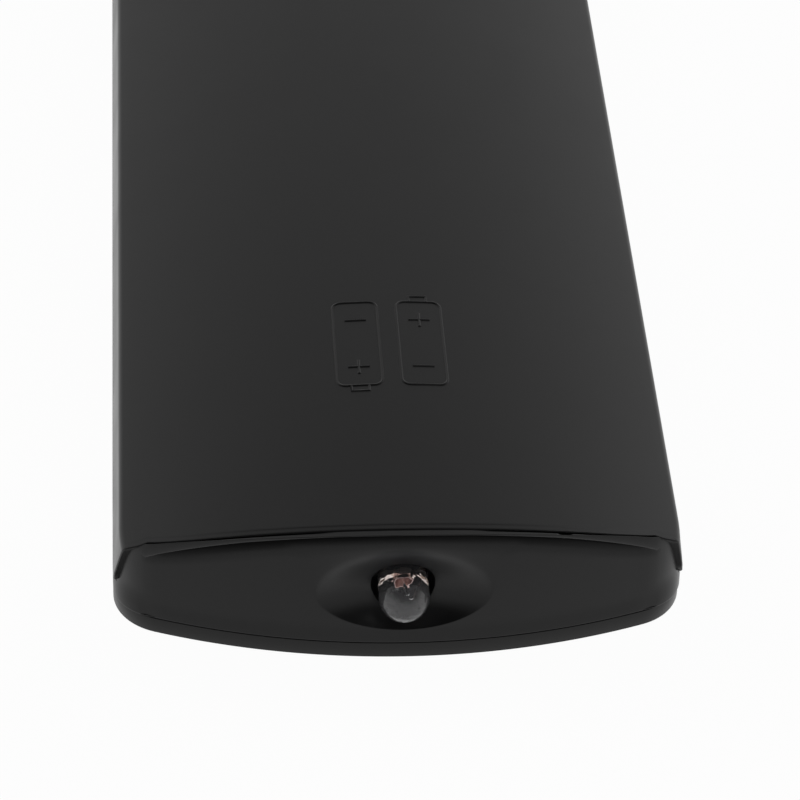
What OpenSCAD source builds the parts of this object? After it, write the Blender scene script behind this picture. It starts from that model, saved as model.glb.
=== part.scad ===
// Universal remote control, lying on its face with its crowned back up.
// X runs across the body, Y from the emitter end to the tail, Z up.

/* [Body] */
// Width across the flanks
body_w = 57; // [52:0.5:66]
// Radius of the crowned back
crown_r = 73.3; // [62:0.5:120]
// Plan radius of both ends
end_r = 72; // [60:1:140]
// Plan radius of the four corners
corner_r = 5; // [4:0.25:8]
// Height of the parting line between front shell and back shell
part_z = 5; // [4.6:0.1:6]
// Lean of the flanks above the parting line, in degrees
flank_lean = 8; // [2:1:12]
// Wall of the back shell and of the battery door
shell_t = 1.5; // [1.2:0.1:1.8]
// Gap at the seams of the back shell and the door
seam_gap = 0.35; // [0.2:0.05:0.5]
// Distance from the last key row's field to the battery bay
bay_gap = 6; // [5.5:0.25:9]
// Distance from the battery bay to the tail end
tail_l = 15; // [13:0.5:24]

/* [Emitter end] */
// Distance from the end to the key field
head_l = 8.5; // [8:0.25:12]
// Distance from the end to the back seam, on the crown
seam_set = 1.1; // [0.9:0.1:2]
// Radius of the back seam
seam_r = 150; // [120:5:260]
// Lean of the back seam, in degrees
seam_lean = 20; // [10:1:25]
// Radius of the upper edge of the sunken end panel
panel_crown_r = 58; // [50:1:70]
// Depth of the sunken end panel at its upper edge
panel_depth = 0.7; // [0.3:0.1:1]
// Width of the sunken end panel
panel_w = 48; // [40:1:49]

/* [Emitter] */
// Diameter of the infrared emitter
led_d = 5; // [4:0.5:5.5]
// Straight length of its lens behind the dome
led_body_l = 5.1; // [4.6:0.1:6]
// Diameter of its flange
led_flange_d = 5.8; // [5.7:0.1:6.4]
// Thickness of its flange
led_flange_t = 1; // [0.6:0.1:1.4]
// Distance that its tip stands out of the end
led_proud = 2.45; // [1.5:0.05:3]
// Clearance around it in its hole
led_clear = 0.65; // [0.3:0.05:0.8]
// Side of its square leads
lead_t = 0.5; // [0.4:0.05:0.6]
// Distance between its leads
lead_pitch = 2.54; // [2:0.02:3]
// Width of the dish around the emitter
dish_w = 17.4; // [14:0.2:20]
// Height of the dish
dish_h = 8.9; // [7.6:0.1:9.4]
// Depth of the dish
dish_depth = 2.4; // [1.6:0.1:2.8]
// Distance from the emitter's axis up to the dish's middle
dish_lift = 0.2; // [0:0.1:0.4]

/* [Face plate] */
// Thickness of the plate at its edge
plate_t = 1.8; // [1.6:0.1:2.2]
// Width of the rim at the sides
rim_w = 3.5; // [3:0.25:5]
// Depth of the sunken key field
field_depth = 1.5; // [1.2:0.1:1.8]
// Thickness of the plate in the key field
field_t = 0.8; // [0.6:0.1:1.2]
// Corner radius of the key field
field_r = 3; // [2:0.25:5]

/* [Keys] */
// Distance between the key rows
row_pitch = 9; // [8.4:0.1:11]
// Length of a key along the body
key_h = 5.4; // [4.6:0.1:6]
// Length of a short key along the body
short_key_h = 4.2; // [3.6:0.1:5]
// Gap between the keys of a row of four
key_gap = 2.6; // [2.2:0.1:4]
// Gap between the keys of the number pad
pad_gap = 6; // [3:0.25:9]
// Distance from the field's edge to the nearest key
field_edge = 1.6; // [1.4:0.1:3]
// Corner radius of the keys
key_r = 1.4; // [0.6:0.1:1.8]
// Diameter of the two round keys of the first row
round_key_d = 8; // [6:0.25:8.5]
// Diameter of the middle key of the arrow cross
ok_d = 8.4; // [6:0.2:9]
// Length of an arrow key across its direction
arrow_w = 9; // [7:0.25:9.5]
// Length of an arrow key along its direction
arrow_h = 4.4; // [3.4:0.1:4.8]
// Clearance around a key in its hole
key_clear = 0.25; // [0.15:0.05:0.4]
// Travel of a key
key_travel = 0.8; // [0.4:0.1:1]
// Distance of the key tops below the rim
key_inset = 0.35; // [0.2:0.05:0.6]
// Overhang of a key's flange
flange_over = 0.8; // [0.6:0.05:0.9]
// Thickness of a key's flange
flange_t = 0.7; // [0.5:0.1:1]

/* [Inside] */
// Thickness of the front shell's floor
floor_t = 1; // [0.8:0.1:1.4]
// Thickness of the lip that locates the back shell
lip_t = 0.8; // [0.6:0.1:1]
// Height of that lip
lip_h = 1.4; // [1:0.1:2]
// Clearance between pieces that slide or nest
slip = 0.2; // [0.15:0.05:0.3]
// Height of the keypad mat's domes
dome_h = 0.65; // [0.4:0.05:1]
// Thickness of the keypad mat
mat_t = 0.6; // [0.4:0.1:1]
// Thickness of the circuit board
board_t = 1.2; // [1:0.1:1.6]
// Diameter of the screws
screw_d = 2; // [1.6:0.1:2.2]
// Diameter of the screw heads
screw_head_d = 3.8; // [3.4:0.1:4]
// Diameter of the screw bosses
boss_d = 4.4; // [4:0.1:4.8]
// Diameter of the indicator window
window_d = 2.4; // [1.8:0.1:3]

/* [Battery bay] */
// Diameter of a cell
cell_d = 10.5; // [10:0.1:11.5]
// Length of a cell over its button
cell_l = 44.5; // [40:0.5:50]
// Gap between the two cells
cell_gap = 0.8; // [0.6:0.1:2]
// Clearance around a cell
cell_clear = 0.25; // [0.15:0.05:0.4]
// Wall of the battery bay
bay_t = 1.2; // [0.8:0.1:1.6]
// Length of a contact spring
spring_l = 4.2; // [3.6:0.1:6]
// Wire of a contact spring
wire_d = 0.5; // [0.4:0.05:0.6]
// Turns of a contact spring
spring_turns = 3.5; // [2.5:0.5:3.5]
// Diameter of its widest turn, at the wire's middle
spring_wide_d = 6.8; // [6:0.1:7.2]
// Diameter of its narrowest turn
spring_tip_d = 3.6; // [3:0.1:4]
// Side of a contact plate
contact_w = 8; // [7.6:0.1:8.6]
// Thickness of a contact plate
contact_t = 0.4; // [0.3:0.05:0.6]

/* [Battery door] */
// Distance from the key field to the door's front edge
door_set = 2.5; // [2.3:0.1:3.4]
// Length of the tongues at the door's front edge
tongue_l = 2.6; // [1.5:0.1:3.5]
// Reach of the door's side hooks
hook_reach = 0.95; // [0.8:0.05:1.1]
// Thickness of the door's side hooks
hook_t = 0.9; // [0.6:0.1:1.2]

/* [Hidden] */
$fn = 64;
eps = 0.01;
air = 0.3;
touch = 0.1;
row_count = 12;

// Heights, from the rim up
field_back_z = field_depth + field_t;
key_floor_z = field_back_z + floor_t;
floor_z = plate_t + floor_t;
flange_z = key_floor_z + touch;
dome_z = flange_z + flange_t + key_travel + touch;
mat_z = dome_z + dome_h;
board_z = mat_z + mat_t;
board_top = board_z + board_t;
led_z = board_top + lead_t / 2;
dish_z = led_z + dish_lift;

// Battery cells
cell_x = (cell_d + cell_gap) / 2;
cell_z = floor_z + cell_clear + cell_d / 2;
cell_button_d = 3.8;
cell_button_l = 0.9;
body_h = cell_z + cell_d / 2 + cell_clear + shell_t + crown_sag(cell_x);

// Lengths, from the emitter end to the tail
field_l = row_count * row_pitch + 2 * field_edge - key_gap / 2;
bay_l = 2 * contact_t + spring_l + cell_l + touch;
body_l = head_l + field_l + bay_gap + bay_l + tail_l;
end_y = -body_l / 2;
field_y = end_y + head_l;
field_end_y = field_y + field_l;
door_y = field_end_y + door_set;
bay_y = field_end_y + bay_gap;
bay_end_y = bay_y + bay_l;
board_lead = 1;
board_tail = 0.5;
board_y = field_y - board_lead;
board_end_y = field_end_y + board_tail;
board_side = 0.5;

// Plan outline
end_c = body_l / 2 - end_r;
corner_x = body_w / 2 - corner_r;
corner_y = end_c + sqrt(pow(end_r - corner_r, 2) - pow(corner_x, 2));
side_t = shell_t + slip + lip_t;

// Key field and key caps
field_w = body_w - 2 * rim_w;
caps_w = field_w - 2 * field_edge;
four_w = (caps_w - 3 * key_gap) / 4;
three_w = (caps_w - 2 * pad_gap) / 3;
four_step = four_w + key_gap;
three_step = three_w + pad_gap;
outer_x = 1.5 * four_step;
window_y = row_y(0) - boss_d / 2 - touch;

// Each key: name, place across, row, size across, size along, colour
KEYS = concat(
    [["power_key", -outer_x, 0, round_key_d, round_key_d, "firebrick"],
     ["source_key", outer_x, 0, round_key_d, round_key_d, "dimgray"]],
    [for (i = [0:3]) [["screen_key", "disc_key", "receiver_key", "sound_key"][i],
        (i - 1.5) * four_step, 1, four_w, short_key_h, "dimgray"]],
    [for (i = [0:8]) [str("digit_", i + 1, "_key"),
        (i % 3 - 1) * three_step, 2 + floor(i / 3), three_w, key_h, "gray"]],
    [for (i = [0:2]) [["recall_key", "digit_0_key", "page_key"][i],
        (i - 1) * three_step, 5, three_w, key_h, "gray"]],
    [["volume_up_key", -outer_x, 6, four_w, key_h, "dimgray"],
     ["mute_key", 0, 6, four_w, key_h, "dimgray"],
     ["channel_up_key", outer_x, 6, four_w, key_h, "dimgray"],
     ["volume_down_key", -outer_x, 7, four_w, key_h, "dimgray"],
     ["channel_down_key", outer_x, 7, four_w, key_h, "dimgray"],
     ["up_key", 0, 8, arrow_w, arrow_h, "gray"],
     ["left_key", -row_pitch, 9, arrow_h, arrow_w, "gray"],
     ["ok_key", 0, 9, ok_d, ok_d, "gray"],
     ["right_key", row_pitch, 9, arrow_h, arrow_w, "gray"],
     ["down_key", 0, 10, arrow_w, arrow_h, "gray"],
     ["menu_key", -outer_x, 10, four_w, short_key_h, "dimgray"],
     ["exit_key", outer_x, 10, four_w, short_key_h, "dimgray"]],
    [for (i = [0:3]) [["red_key", "green_key", "yellow_key", "blue_key"][i],
        (i - 1.5) * four_step, 11, four_w, short_key_h, ["red", "green", "gold", "blue"][i]]]);

// Board screws stand where no key is: one by the window, one below mute, two beside the down key
BOARD_SCREWS = [
    [0, row_y(0) + boss_d / 2 + touch],
    [0, row_y(7)],
    [-row_pitch, row_y(10)],
    [row_pitch, row_y(10)]];

// Shell screws, under the door's front edge
boss_set = 1.8;
shell_screw_set = 5;
shell_screw_x = body_w / 2 - side_t - boss_d / 2 - boss_set;
shell_screw_y = door_y + shell_screw_set;
tab_w = boss_d + 2 * air;
tab_t = 1.2;
screw_head_t = 0.9;
head_clear = 0.7;
head_top = body_h - crown_sag(shell_screw_x + screw_head_d / 2) - shell_t - head_clear;
tab_z = head_top - screw_head_t - tab_t;

// Places of the rails and hooks that hold the door down
hook_z = part_z + air;
rail_z = hook_z + hook_t + air;
hook_x = body_w / 2 - shell_t - tan(flank_lean) * (hook_t + air) - hook_reach;
rail_t = 0.8;
rail_set = 7;
rail_stop = 4;
rail_y = bay_y + rail_set;
rail_end_y = corner_y - rail_stop;
tongue_w = 4.4;
tongue_t = 1;
tongue_root = 2;
tongue_set = 1.6;
contact_tab_w = 2.4;

function crown_sag(x) = crown_r - sqrt(pow(crown_r, 2) - pow(x, 2));
function row_y(row) = field_y + field_edge + (row + 0.5) * row_pitch - key_gap / 4;
function is_round(key) = key[3] == key[4];

// Points of an arc about a centre, from one angle to another
function arc(c, r, a0, a1, steps) = [for (i = [0:steps])
    let (a = a0 + (a1 - a0) * i / steps) c + r * [cos(a), sin(a)]];

// Plan outline of the body, drawn in by an inset: side corner, end, side corner, and the same at the tail
module outline(inset = 0) {
    end_a = atan2(corner_y - end_c, corner_x);
    side_r = max(corner_r - inset, 0.3);
    step_a = (180 - 2 * end_a) / 24;
    half = concat(
        arc([corner_x, -corner_y], side_r, 0, -end_a, 10),
        arc([0, -end_c], end_r - inset, -end_a - step_a, end_a - 180 + step_a, 22),
        arc([-corner_x, -corner_y], side_r, end_a - 180, -180, 10));
    polygon(concat(half, -half));
}

// Cross-section of the body, with X across and Y up, drawn in by an inset
module profile(inset = 0) {
    half_w = body_w / 2 - inset;
    low = -1;
    top = body_h + 1;
    low_w = half_w + tan(flank_lean) * (part_z - low);
    top_w = half_w - tan(flank_lean) * (top - part_z);
    intersection() {
        translate([0, body_h - crown_r]) circle(crown_r - inset, $fn = 180);
        polygon([[-low_w, low], [low_w, low], [top_w, top], [-top_w, top]]);
    }
}

// A 2D cross-section drawn along the body from y0 to y1
module along(y0, y1) {
    translate([0, y1, 0]) rotate([90, 0, 0]) linear_extrude(y1 - y0) children();
}

// A box from one corner to the other
module block(low, high) {
    translate(low) cube(high - low);
}

// The body's outer form from z0 up, drawn in by an inset
module form(inset, z0) {
    intersection() {
        translate([0, 0, z0]) linear_extrude(body_h + 1 - z0) outline(inset);
        along(end_y - 1, -end_y + 1) profile(inset);
    }
}

// All that lies behind the leaning, curved seam at the emitter end
module behind_seam(gap = 0) {
    reach = body_l;
    translate([0, end_y + seam_set + gap + seam_r / cos(seam_lean), body_h])
        rotate([seam_lean, 0, 0]) cylinder(r = seam_r, h = reach, center = true, $fn = 180);
}

// A slab of the whole plan between two heights, cut to a stretch of the body
module stretch(y0, y1, z0, z1) {
    block([-body_w, y0, z0], [body_w, y1, z1]);
}

// A rectangle with round corners
module soft_rect(w, h, r) {
    square([w - 2 * r, h], center = true);
    square([w, h - 2 * r], center = true);
    for (x = [-1, 1], y = [-1, 1]) translate([x * (w / 2 - r), y * (h / 2 - r)]) circle(r, $fn = 32);
}

// A key's plan, grown by a margin, in its place
module key_plan(key, grow = 0) {
    translate([key[1], row_y(key[2])])
        if (is_round(key)) circle(d = key[3] + 2 * grow);
        else soft_rect(key[3] + 2 * grow, key[4] + 2 * grow, key_r + grow);
}

// Plan of the sunken key field, grown by a margin
module field_plan(grow = 0) {
    translate([0, (field_y + field_end_y) / 2])
        soft_rect(field_w + 2 * grow, field_l + 2 * grow, field_r + grow);
}

module key_holes(grow) {
    for (key = KEYS) key_plan(key, grow);
    translate([0, window_y]) circle(d = window_d + 2 * touch);
}

// Spindle that cuts the dish around the emitter
module dish_cutter() {
    half_w = dish_w / 2;
    arc_r = (pow(half_w, 2) + pow(dish_depth, 2)) / (2 * dish_depth);
    axis_out = (pow(dish_h / 2, 2) - pow(dish_depth, 2)) / (2 * dish_depth);
    belly_r = axis_out + dish_depth;
    translate([0, end_y - axis_out, dish_z]) rotate([0, 90, 0]) rotate_extrude($fn = 96)
        intersection() {
            translate([belly_r - arc_r, 0]) circle(arc_r, $fn = 180);
            translate([0, -dish_w]) square([belly_r, 2 * dish_w]);
        }
}

// Shallow cut that sinks the end panel below its arched upper edge
module panel_cutter() {
    spread = asin(panel_w / 2 / end_r) + 5;
    low_z = plate_t + 1;
    start = 0.05;
    lean = atan(panel_depth / (body_h - 1 - low_z));
    front = arc([0, -end_c], end_r, 270 - spread, 270 + spread, 21);
    back = [for (side = [1, -1]) [side * body_w, 0]];
    intersection() {
        difference() {
            block([-panel_w / 2, end_y - 1, low_z], [panel_w / 2, end_y + head_l, body_h]);
            translate([0, end_y - start, low_z]) rotate([-lean, 0, 0]) translate([0, -end_y, -body_h])
                linear_extrude(3 * body_h) polygon(concat(front, back));
        }
        along(end_y - 2, end_y + head_l + 1)
            translate([0, body_h - panel_crown_r - touch]) circle(panel_crown_r, $fn = 180);
    }
}

module front_shell() {
    color("#2b2b2c") difference() {
        difference() {
            difference() {
                keyed_tray();
                dish_cutter();
            }
            panel_cutter();
        }
        shell_bores();
    }
}

// The tray with all that stands in it, opened for the face plate's field and the keys
module keyed_tray() {
    difference() {
        union() {
            tray();
            key_floor();
            emitter_block();
            lip();
            bay_walls();
            bosses();
            door_rails();
        }
        translate([0, 0, plate_t - eps]) linear_extrude(field_back_z - plate_t + eps) field_plan(touch);
        translate([0, 0, plate_t]) linear_extrude(floor_z + floor_t) key_holes(key_clear);
    }
}

// Walls, floor and the high end at the emitter
module tray() {
    difference() {
        form(0, plate_t);
        translate([0, 0, floor_z]) linear_extrude(body_h) outline(side_t);
        intersection() {
            behind_seam();
            stretch(end_y, -end_y, part_z, body_h + 1);
        }
    }
}

// Hole for the emitter, pilot holes for the screws and slots for the contact tabs
module shell_bores() {
    translate([0, end_y + head_l, led_z]) rotate([90, 0, 0])
        cylinder(d = led_d + 2 * led_clear, h = 2 * head_l);
    for (p = BOARD_SCREWS) translate([p[0], p[1], key_floor_z]) cylinder(d = screw_d + touch, h = board_z);
    for (side = [-1, 1]) {
        slot_x = side * cell_x;
        slot_w = contact_tab_w / 2 + slip;
        translate([side * shell_screw_x, shell_screw_y, floor_z]) cylinder(d = screw_d + touch, h = tab_z);
        block([slot_x - slot_w, bay_y - bay_t - eps, board_top - slip],
            [slot_x + slot_w, bay_y + eps, board_top + contact_t + slip]);
    }
}

// Thicker floor that guides the keys
module key_floor() {
    intersection() {
        translate([0, 0, plate_t]) linear_extrude(key_floor_z - plate_t) outline(side_t / 2);
        stretch(end_y, field_end_y + 1, plate_t, key_floor_z);
    }
}

// Solid block behind the dish, bored for the emitter
module emitter_block() {
    wall = 3.2;
    cover = 0.5;
    half_w = led_d / 2 + led_clear + wall;
    back_y = end_y - led_proud + led_d / 2 + led_body_l - touch;
    top_z = dish_z + dish_h / 2 + cover;
    block([-half_w, end_y + side_t - eps, plate_t + eps], [half_w, back_y, top_z]);
}

// Lip that locates the back shell's flanks
module lip() {
    along(-corner_y, door_y - seam_gap) intersection() {
        difference() {
            profile(shell_t + slip);
            profile(side_t);
        }
        translate([-body_w, part_z - eps]) square([2 * body_w, lip_h + eps]);
    }
}

module bay_walls() {
    half_w = cell_x + cell_d / 2 + cell_clear;
    hold = 1.5;
    side_top = cell_z + hold;
    end_top = cell_z + cell_d / 2 - hold;
    for (side = [0, 1]) mirror([side, 0, 0])
        block([half_w, bay_y - bay_t, plate_t + eps], [half_w + bay_t, bay_end_y + bay_t, side_top]);
    for (y = [bay_y - bay_t, bay_end_y])
        block([-half_w - eps, y, plate_t + eps], [half_w + eps, y + bay_t, end_top]);
}

module bosses() {
    for (p = BOARD_SCREWS) translate([p[0], p[1], field_back_z])
        cylinder(d = boss_d, h = board_z - field_back_z);
    for (side = [-1, 1]) translate([side * shell_screw_x, shell_screw_y, plate_t + eps])
        cylinder(d = boss_d, h = tab_z - plate_t - eps);
}

module door_rails() {
    rail_x = hook_x - air;
    for (side = [0, 1]) mirror([side, 0, 0]) {
        block([rail_x - rail_t, rail_y, plate_t + eps], [rail_x, rail_end_y, rail_z + rail_t]);
        block([rail_x - rail_t, rail_y, rail_z], [hook_x + hook_reach / 2, rail_end_y, rail_z + rail_t]);
    }
}

module face_plate() {
    color("#242425") difference() {
        union() {
            linear_extrude(plate_t) outline(touch);
            translate([0, 0, field_depth]) linear_extrude(field_t) field_plan();
        }
        translate([0, 0, -eps]) linear_extrude(field_depth + eps) field_plan(-field_t);
        linear_extrude(field_back_z + 1) key_holes(key_clear);
    }
}

module back_shell() {
    color("#303031") {
        difference() {
            intersection() {
                form(0, part_z + touch);
                behind_seam(seam_gap);
                stretch(end_y, door_y - seam_gap / 2, part_z, body_h + 1);
            }
            form(shell_t, part_z);
        }
        for (side = [0, 1]) mirror([side, 0, 0]) screw_tab();
    }
}

// Tab of the back shell that a shell screw holds down, under the door
module screw_tab() {
    low_x = shell_screw_x - tab_w / 2;
    high_x = shell_screw_x + tab_w / 2;
    web_y = board_end_y + air;
    difference() {
        union() {
            block([low_x, web_y, tab_z], [high_x, shell_screw_y + tab_w / 2, tab_z + tab_t]);
            intersection() {
                block([low_x, web_y, tab_z], [high_x, door_y - seam_gap, body_h]);
                form(shell_t / 2, part_z);
            }
        }
        translate([shell_screw_x, shell_screw_y, 0]) cylinder(d = screw_d + 2 * slip, h = body_h);
    }
}

module battery_door() {
    color("#2e2e2f") {
        difference() {
            intersection() {
                form(0, part_z + touch);
                stretch(door_y + seam_gap / 2, -end_y, part_z, body_h + 1);
            }
            form(shell_t, part_z);
            grip_grooves();
        }
        for (side = [0, 1]) mirror([side, 0, 0]) {
            door_tongue();
            door_hooks();
        }
    }
}

// Five thumb grooves across the door's front end
module grip_grooves() {
    groove_l = 16;
    groove_w = 1;
    groove_step = 2.2;
    groove_deep = 0.5;
    groove_set = 5;
    difference() {
        for (i = [0:4]) translate([0, door_y + groove_set + i * groove_step, body_h])
            cube([groove_l, groove_w, 4 * shell_t], center = true);
        form(groove_deep, part_z);
    }
}

// Tongue that slides under the back shell's rear edge
module door_tongue() {
    low_x = shell_screw_x - tab_w / 2 - tongue_set - tongue_w;
    root_y = door_y + seam_gap;
    intersection() {
        union() {
            along(door_y - tongue_l, root_y + tongue_root) band(shell_t + air, tongue_t);
            along(root_y, root_y + tongue_root) band(shell_t - eps, air + 2 * eps);
        }
        block([low_x, end_y, part_z], [low_x + tongue_w, -end_y, body_h]);
    }
}

// A band of the cross-section that starts at an inset and is so thick
module band(inset, thick) {
    difference() {
        profile(inset);
        profile(inset + thick);
    }
}

// Three hooks a side that run under the front shell's rails
module door_hooks() {
    hook_l = 8;
    first_y = rail_y + 2;
    last_y = rail_end_y - hook_l - 2;
    for (i = [0:2]) intersection() {
        translate([hook_x, first_y + i * (last_y - first_y) / 2, hook_z])
            cube([hook_reach + shell_t, hook_l, hook_t]);
        form(shell_t / 2, part_z);
    }
}

module keypad_mat() {
    margin = 0.6;
    dome_d = short_key_h - 2 * slip;
    dome_tip_d = dome_d - 1;
    color("#8d9094") {
        translate([0, 0, mat_z]) linear_extrude(mat_t) difference() {
            field_plan(-margin);
            for (p = BOARD_SCREWS) translate(p) circle(d = boss_d + 2 * slip);
            translate([0, window_y]) square(window_d + 2 * slip, center = true);
        }
        for (key = KEYS) translate([key[1], row_y(key[2]), dome_z])
            cylinder(d1 = dome_tip_d, d2 = dome_d, h = dome_h + eps, $fn = 32);
    }
}

module circuit_board() {
    half_w = field_w / 2 - board_side;
    color("#3f6b3a") translate([0, 0, board_z]) linear_extrude(board_t) difference() {
        translate([-half_w, board_y]) square([2 * half_w, board_end_y - board_y]);
        for (p = BOARD_SCREWS) translate(p) circle(d = screw_d + 2 * slip);
    }
}

// Controller in a small-outline case with gull-wing legs
module control_chip() {
    chip_l = 12.8;
    chip_w = 7.5;
    chip_t = 2;
    leg_step = 1.27;
    leg_w = 0.4;
    leg_t = 0.2;
    leg_l = 0.8;
    color("#1d1d1f") translate([0, row_y(4), board_top]) {
        translate([-chip_w / 2, -chip_l / 2, touch]) cube([chip_w, chip_l, chip_t]);
        for (i = [-4.5:4.5], side = [0, 1]) mirror([side, 0, 0])
            translate([chip_w / 2, i * leg_step - leg_w / 2, 0]) {
                translate([-eps, 0, chip_t / 2]) cube([leg_l, leg_w, leg_t]);
                translate([leg_l - leg_t, 0, 0]) cube([leg_t, leg_w, chip_t / 2 + leg_t]);
                translate([leg_l - leg_t, 0, 0]) cube([leg_l, leg_w, leg_t]);
            }
    }
}

module crystal() {
    can_l = 10;
    can_w = 4.2;
    can_t = 3.2;
    can_set = 11;
    can_x = can_set - field_w / 2;
    color("silver") translate([can_x, row_y(5), board_top]) linear_extrude(can_t)
        soft_rect(can_l, can_w, can_w / 2 - touch);
}

// Electrolytic capacitor, lying on the board
module capacitor() {
    can_d = 4;
    can_l = 8;
    can_set = 11;
    can_x = field_w / 2 - can_set;
    leg_l = 2;
    color("#2f3d5c") translate([can_x, row_y(10), board_top + can_d / 2]) rotate([-90, 0, 0]) {
        cylinder(d = can_d, h = can_l);
        for (side = [-1, 1]) translate([side - lead_t / 2, -lead_t / 2, -leg_l])
            cube([lead_t, lead_t, leg_l + eps]);
    }
}

// Transistor that drives the emitter, in a flat-sided case
module driver_transistor() {
    case_d = 4.6;
    case_l = 4.6;
    flat = 1.3;
    case_x = -9;
    case_set = 6;
    leg_l = 2;
    leg_step = 1.27;
    color("#1d1d1f") translate([case_x, board_y + case_set, board_top]) rotate([90, 0, 0]) {
        intersection() {
            translate([0, case_d / 2 - flat, 0]) cylinder(d = case_d, h = case_l, center = true);
            translate([-case_d, 0, -case_l]) cube([2 * case_d, case_d, 2 * case_l]);
        }
        for (i = [-1:1]) translate([i * leg_step - lead_t / 2, 0, -case_l / 2 - leg_l])
            cube([lead_t, lead_t, leg_l + eps]);
    }
}

module chip_resistors() {
    chip_l = 2;
    chip_w = 1.25;
    chip_t = 0.5;
    chip_x = 9;
    chip_step = 4;
    color("#26262a") for (i = [0:2], side = [-1, 1])
        translate([side * chip_x, row_y(3) + i * chip_step, board_top + chip_t / 2])
            cube([chip_l, chip_w, chip_t], center = true);
}

// Epoxy lens of the emitter: dome, barrel and flange, cast around its leads
module emitter_lens() {
    dome_y = end_y - led_proud + led_d / 2;
    flange_y = dome_y + led_body_l;
    color([0.92, 0.93, 0.96, 0.5]) difference() {
        union() {
            translate([0, dome_y, led_z]) sphere(d = led_d);
            translate([0, flange_y, led_z]) rotate([90, 0, 0]) cylinder(d = led_d, h = led_body_l);
            translate([0, flange_y + led_flange_t, led_z]) rotate([90, 0, 0])
                cylinder(d = led_flange_d, h = led_flange_t);
        }
        lead_posts();
    }
}

// Two leads: one ends in the reflector cup that holds the die
module lead_posts() {
    dome_y = end_y - led_proud + led_d / 2;
    cup_y = dome_y + 1;
    solder_y = board_y + 3.5;
    cup_d = 1.8;
    cup_t = 0.9;
    cup_wall = 0.1;
    anvil_l = 0.8;
    post_set = 0.4;
    for (side = [-1, 1]) {
        front_y = side < 0 ? cup_y + cup_t - eps : cup_y + post_set;
        block([side * lead_pitch / 2 - lead_t / 2, front_y, led_z - lead_t / 2],
            [side * lead_pitch / 2 + lead_t / 2, solder_y, led_z + lead_t / 2]);
    }
    block([-lead_pitch / 2 - lead_t / 2, cup_y + cup_t - eps, led_z - lead_t],
        [lead_t / 2, cup_y + cup_t + anvil_l, led_z + lead_t]);
    translate([-lead_pitch / 6, cup_y + cup_t, led_z]) rotate([90, 0, 0]) difference() {
        cylinder(d = cup_d, h = cup_t, $fn = 32);
        translate([0, 0, cup_t / 3]) cylinder(d1 = cup_d / 2, d2 = cup_d - 2 * cup_wall, h = cup_t, $fn = 32);
    }
}

module emitter_leads() {
    color("silver") lead_posts();
}

module indicator_led() {
    case_l = 2;
    case_w = 1.25;
    case_t = 0.6;
    color("#d8d2c8") translate([0, window_y, board_z - case_t / 2])
        cube([case_l, case_w, case_t], center = true);
}

module indicator_window() {
    head_t = 0.5;
    head_d = window_d + 1;
    stem_l = key_floor_z - field_depth;
    color("#5a1216") translate([0, window_y, field_depth]) {
        cylinder(d = window_d, h = stem_l + head_t);
        translate([0, 0, stem_l + touch / 2]) cylinder(d = head_d, h = head_t);
    }
}

// One cell along Y, its button towards +Y, from y = 0
module cell() {
    body = cell_l - cell_button_l;
    rotate([-90, 0, 0]) {
        cylinder(d = cell_d, h = body);
        cylinder(d = cell_button_d, h = cell_l);
    }
}

module battery_left() {
    color("#33363a") translate([-cell_x, bay_y + contact_t + spring_l, cell_z]) cell();
}

module battery_right() {
    color("#33363a") translate([cell_x, bay_end_y - contact_t - spring_l, cell_z]) mirror([0, 1, 0]) cell();
}

// Contact spring: a cone of wire curls along Y
curl_rings = 8;
wire_sides = 6;
ring_count = spring_turns * curl_rings;
function spring_r(i) = (spring_wide_d + (spring_tip_d - spring_wide_d) * i / ring_count) / 2;
function spring_y(i) = wire_d / 2 + touch + (spring_l - wire_d - 2 * touch) * i / ring_count;
function spring_a(i) = 360 * i / curl_rings;
function spring_at(i) = [spring_r(i) * cos(spring_a(i)), spring_y(i), spring_r(i) * sin(spring_a(i))];
function wire_at(i, j) = let (out = cos(360 * j / wire_sides)) spring_at(i)
    + wire_d / 2 * [out * cos(spring_a(i)), sin(360 * j / wire_sides), out * sin(spring_a(i))];
spring_gap = min([for (i = [0:ring_count], j = [0:ring_count]) if (j - i > curl_rings / 2)
    norm(spring_at(i) - spring_at(j)) - wire_d]);
echo(least_spring_gap = spring_gap);

module spring() {
    last = ring_count * wire_sides;
    polyhedron(
        points = [for (i = [0:ring_count], j = [0:wire_sides - 1]) wire_at(i, j)],
        faces = concat(
            [for (j = [1:wire_sides - 2]) [0, j + 1, j]],
            [for (j = [1:wire_sides - 2]) [last, last + j, last + j + 1]],
            [for (i = [0:ring_count - 1], j = [0:wire_sides - 1])
                let (n = (j + 1) % wire_sides, a = i * wire_sides, b = a + wire_sides)
                each [[a + j, a + n, b + j], [a + n, b + n, b + j]]]));
}

module contact_springs() {
    color("silver") {
        translate([-cell_x, bay_y + contact_t, cell_z]) spring();
        translate([cell_x, bay_end_y - contact_t, cell_z]) rotate([0, 0, 180]) spring();
    }
}

// Contact plate on the bay's front wall, with a tab through the wall to the board
module wall_contact(x) {
    half = contact_w / 2;
    tab_lap = 2;
    block([x - half, bay_y, cell_z - half], [x + half, bay_y + contact_t, cell_z + half]);
    block([x - contact_tab_w / 2, board_end_y - tab_lap, board_top],
        [x + contact_tab_w / 2, bay_y + contact_t, board_top + contact_t]);
}

module minus_contact() {
    color("silver") wall_contact(-cell_x);
}

module plus_contact() {
    color("silver") wall_contact(cell_x);
}

module bridge_contact() {
    half = contact_w / 2;
    color("silver") block([-cell_x - half, bay_end_y - contact_t, cell_z - half],
        [cell_x + half, bay_end_y, cell_z + half]);
}

// Pan-head screw, its head's seat at the origin, pointing down
module screw(length) {
    cylinder(d = screw_head_d, h = screw_head_t);
    translate([0, 0, -length]) cylinder(d = screw_d, h = length + eps);
}

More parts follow.
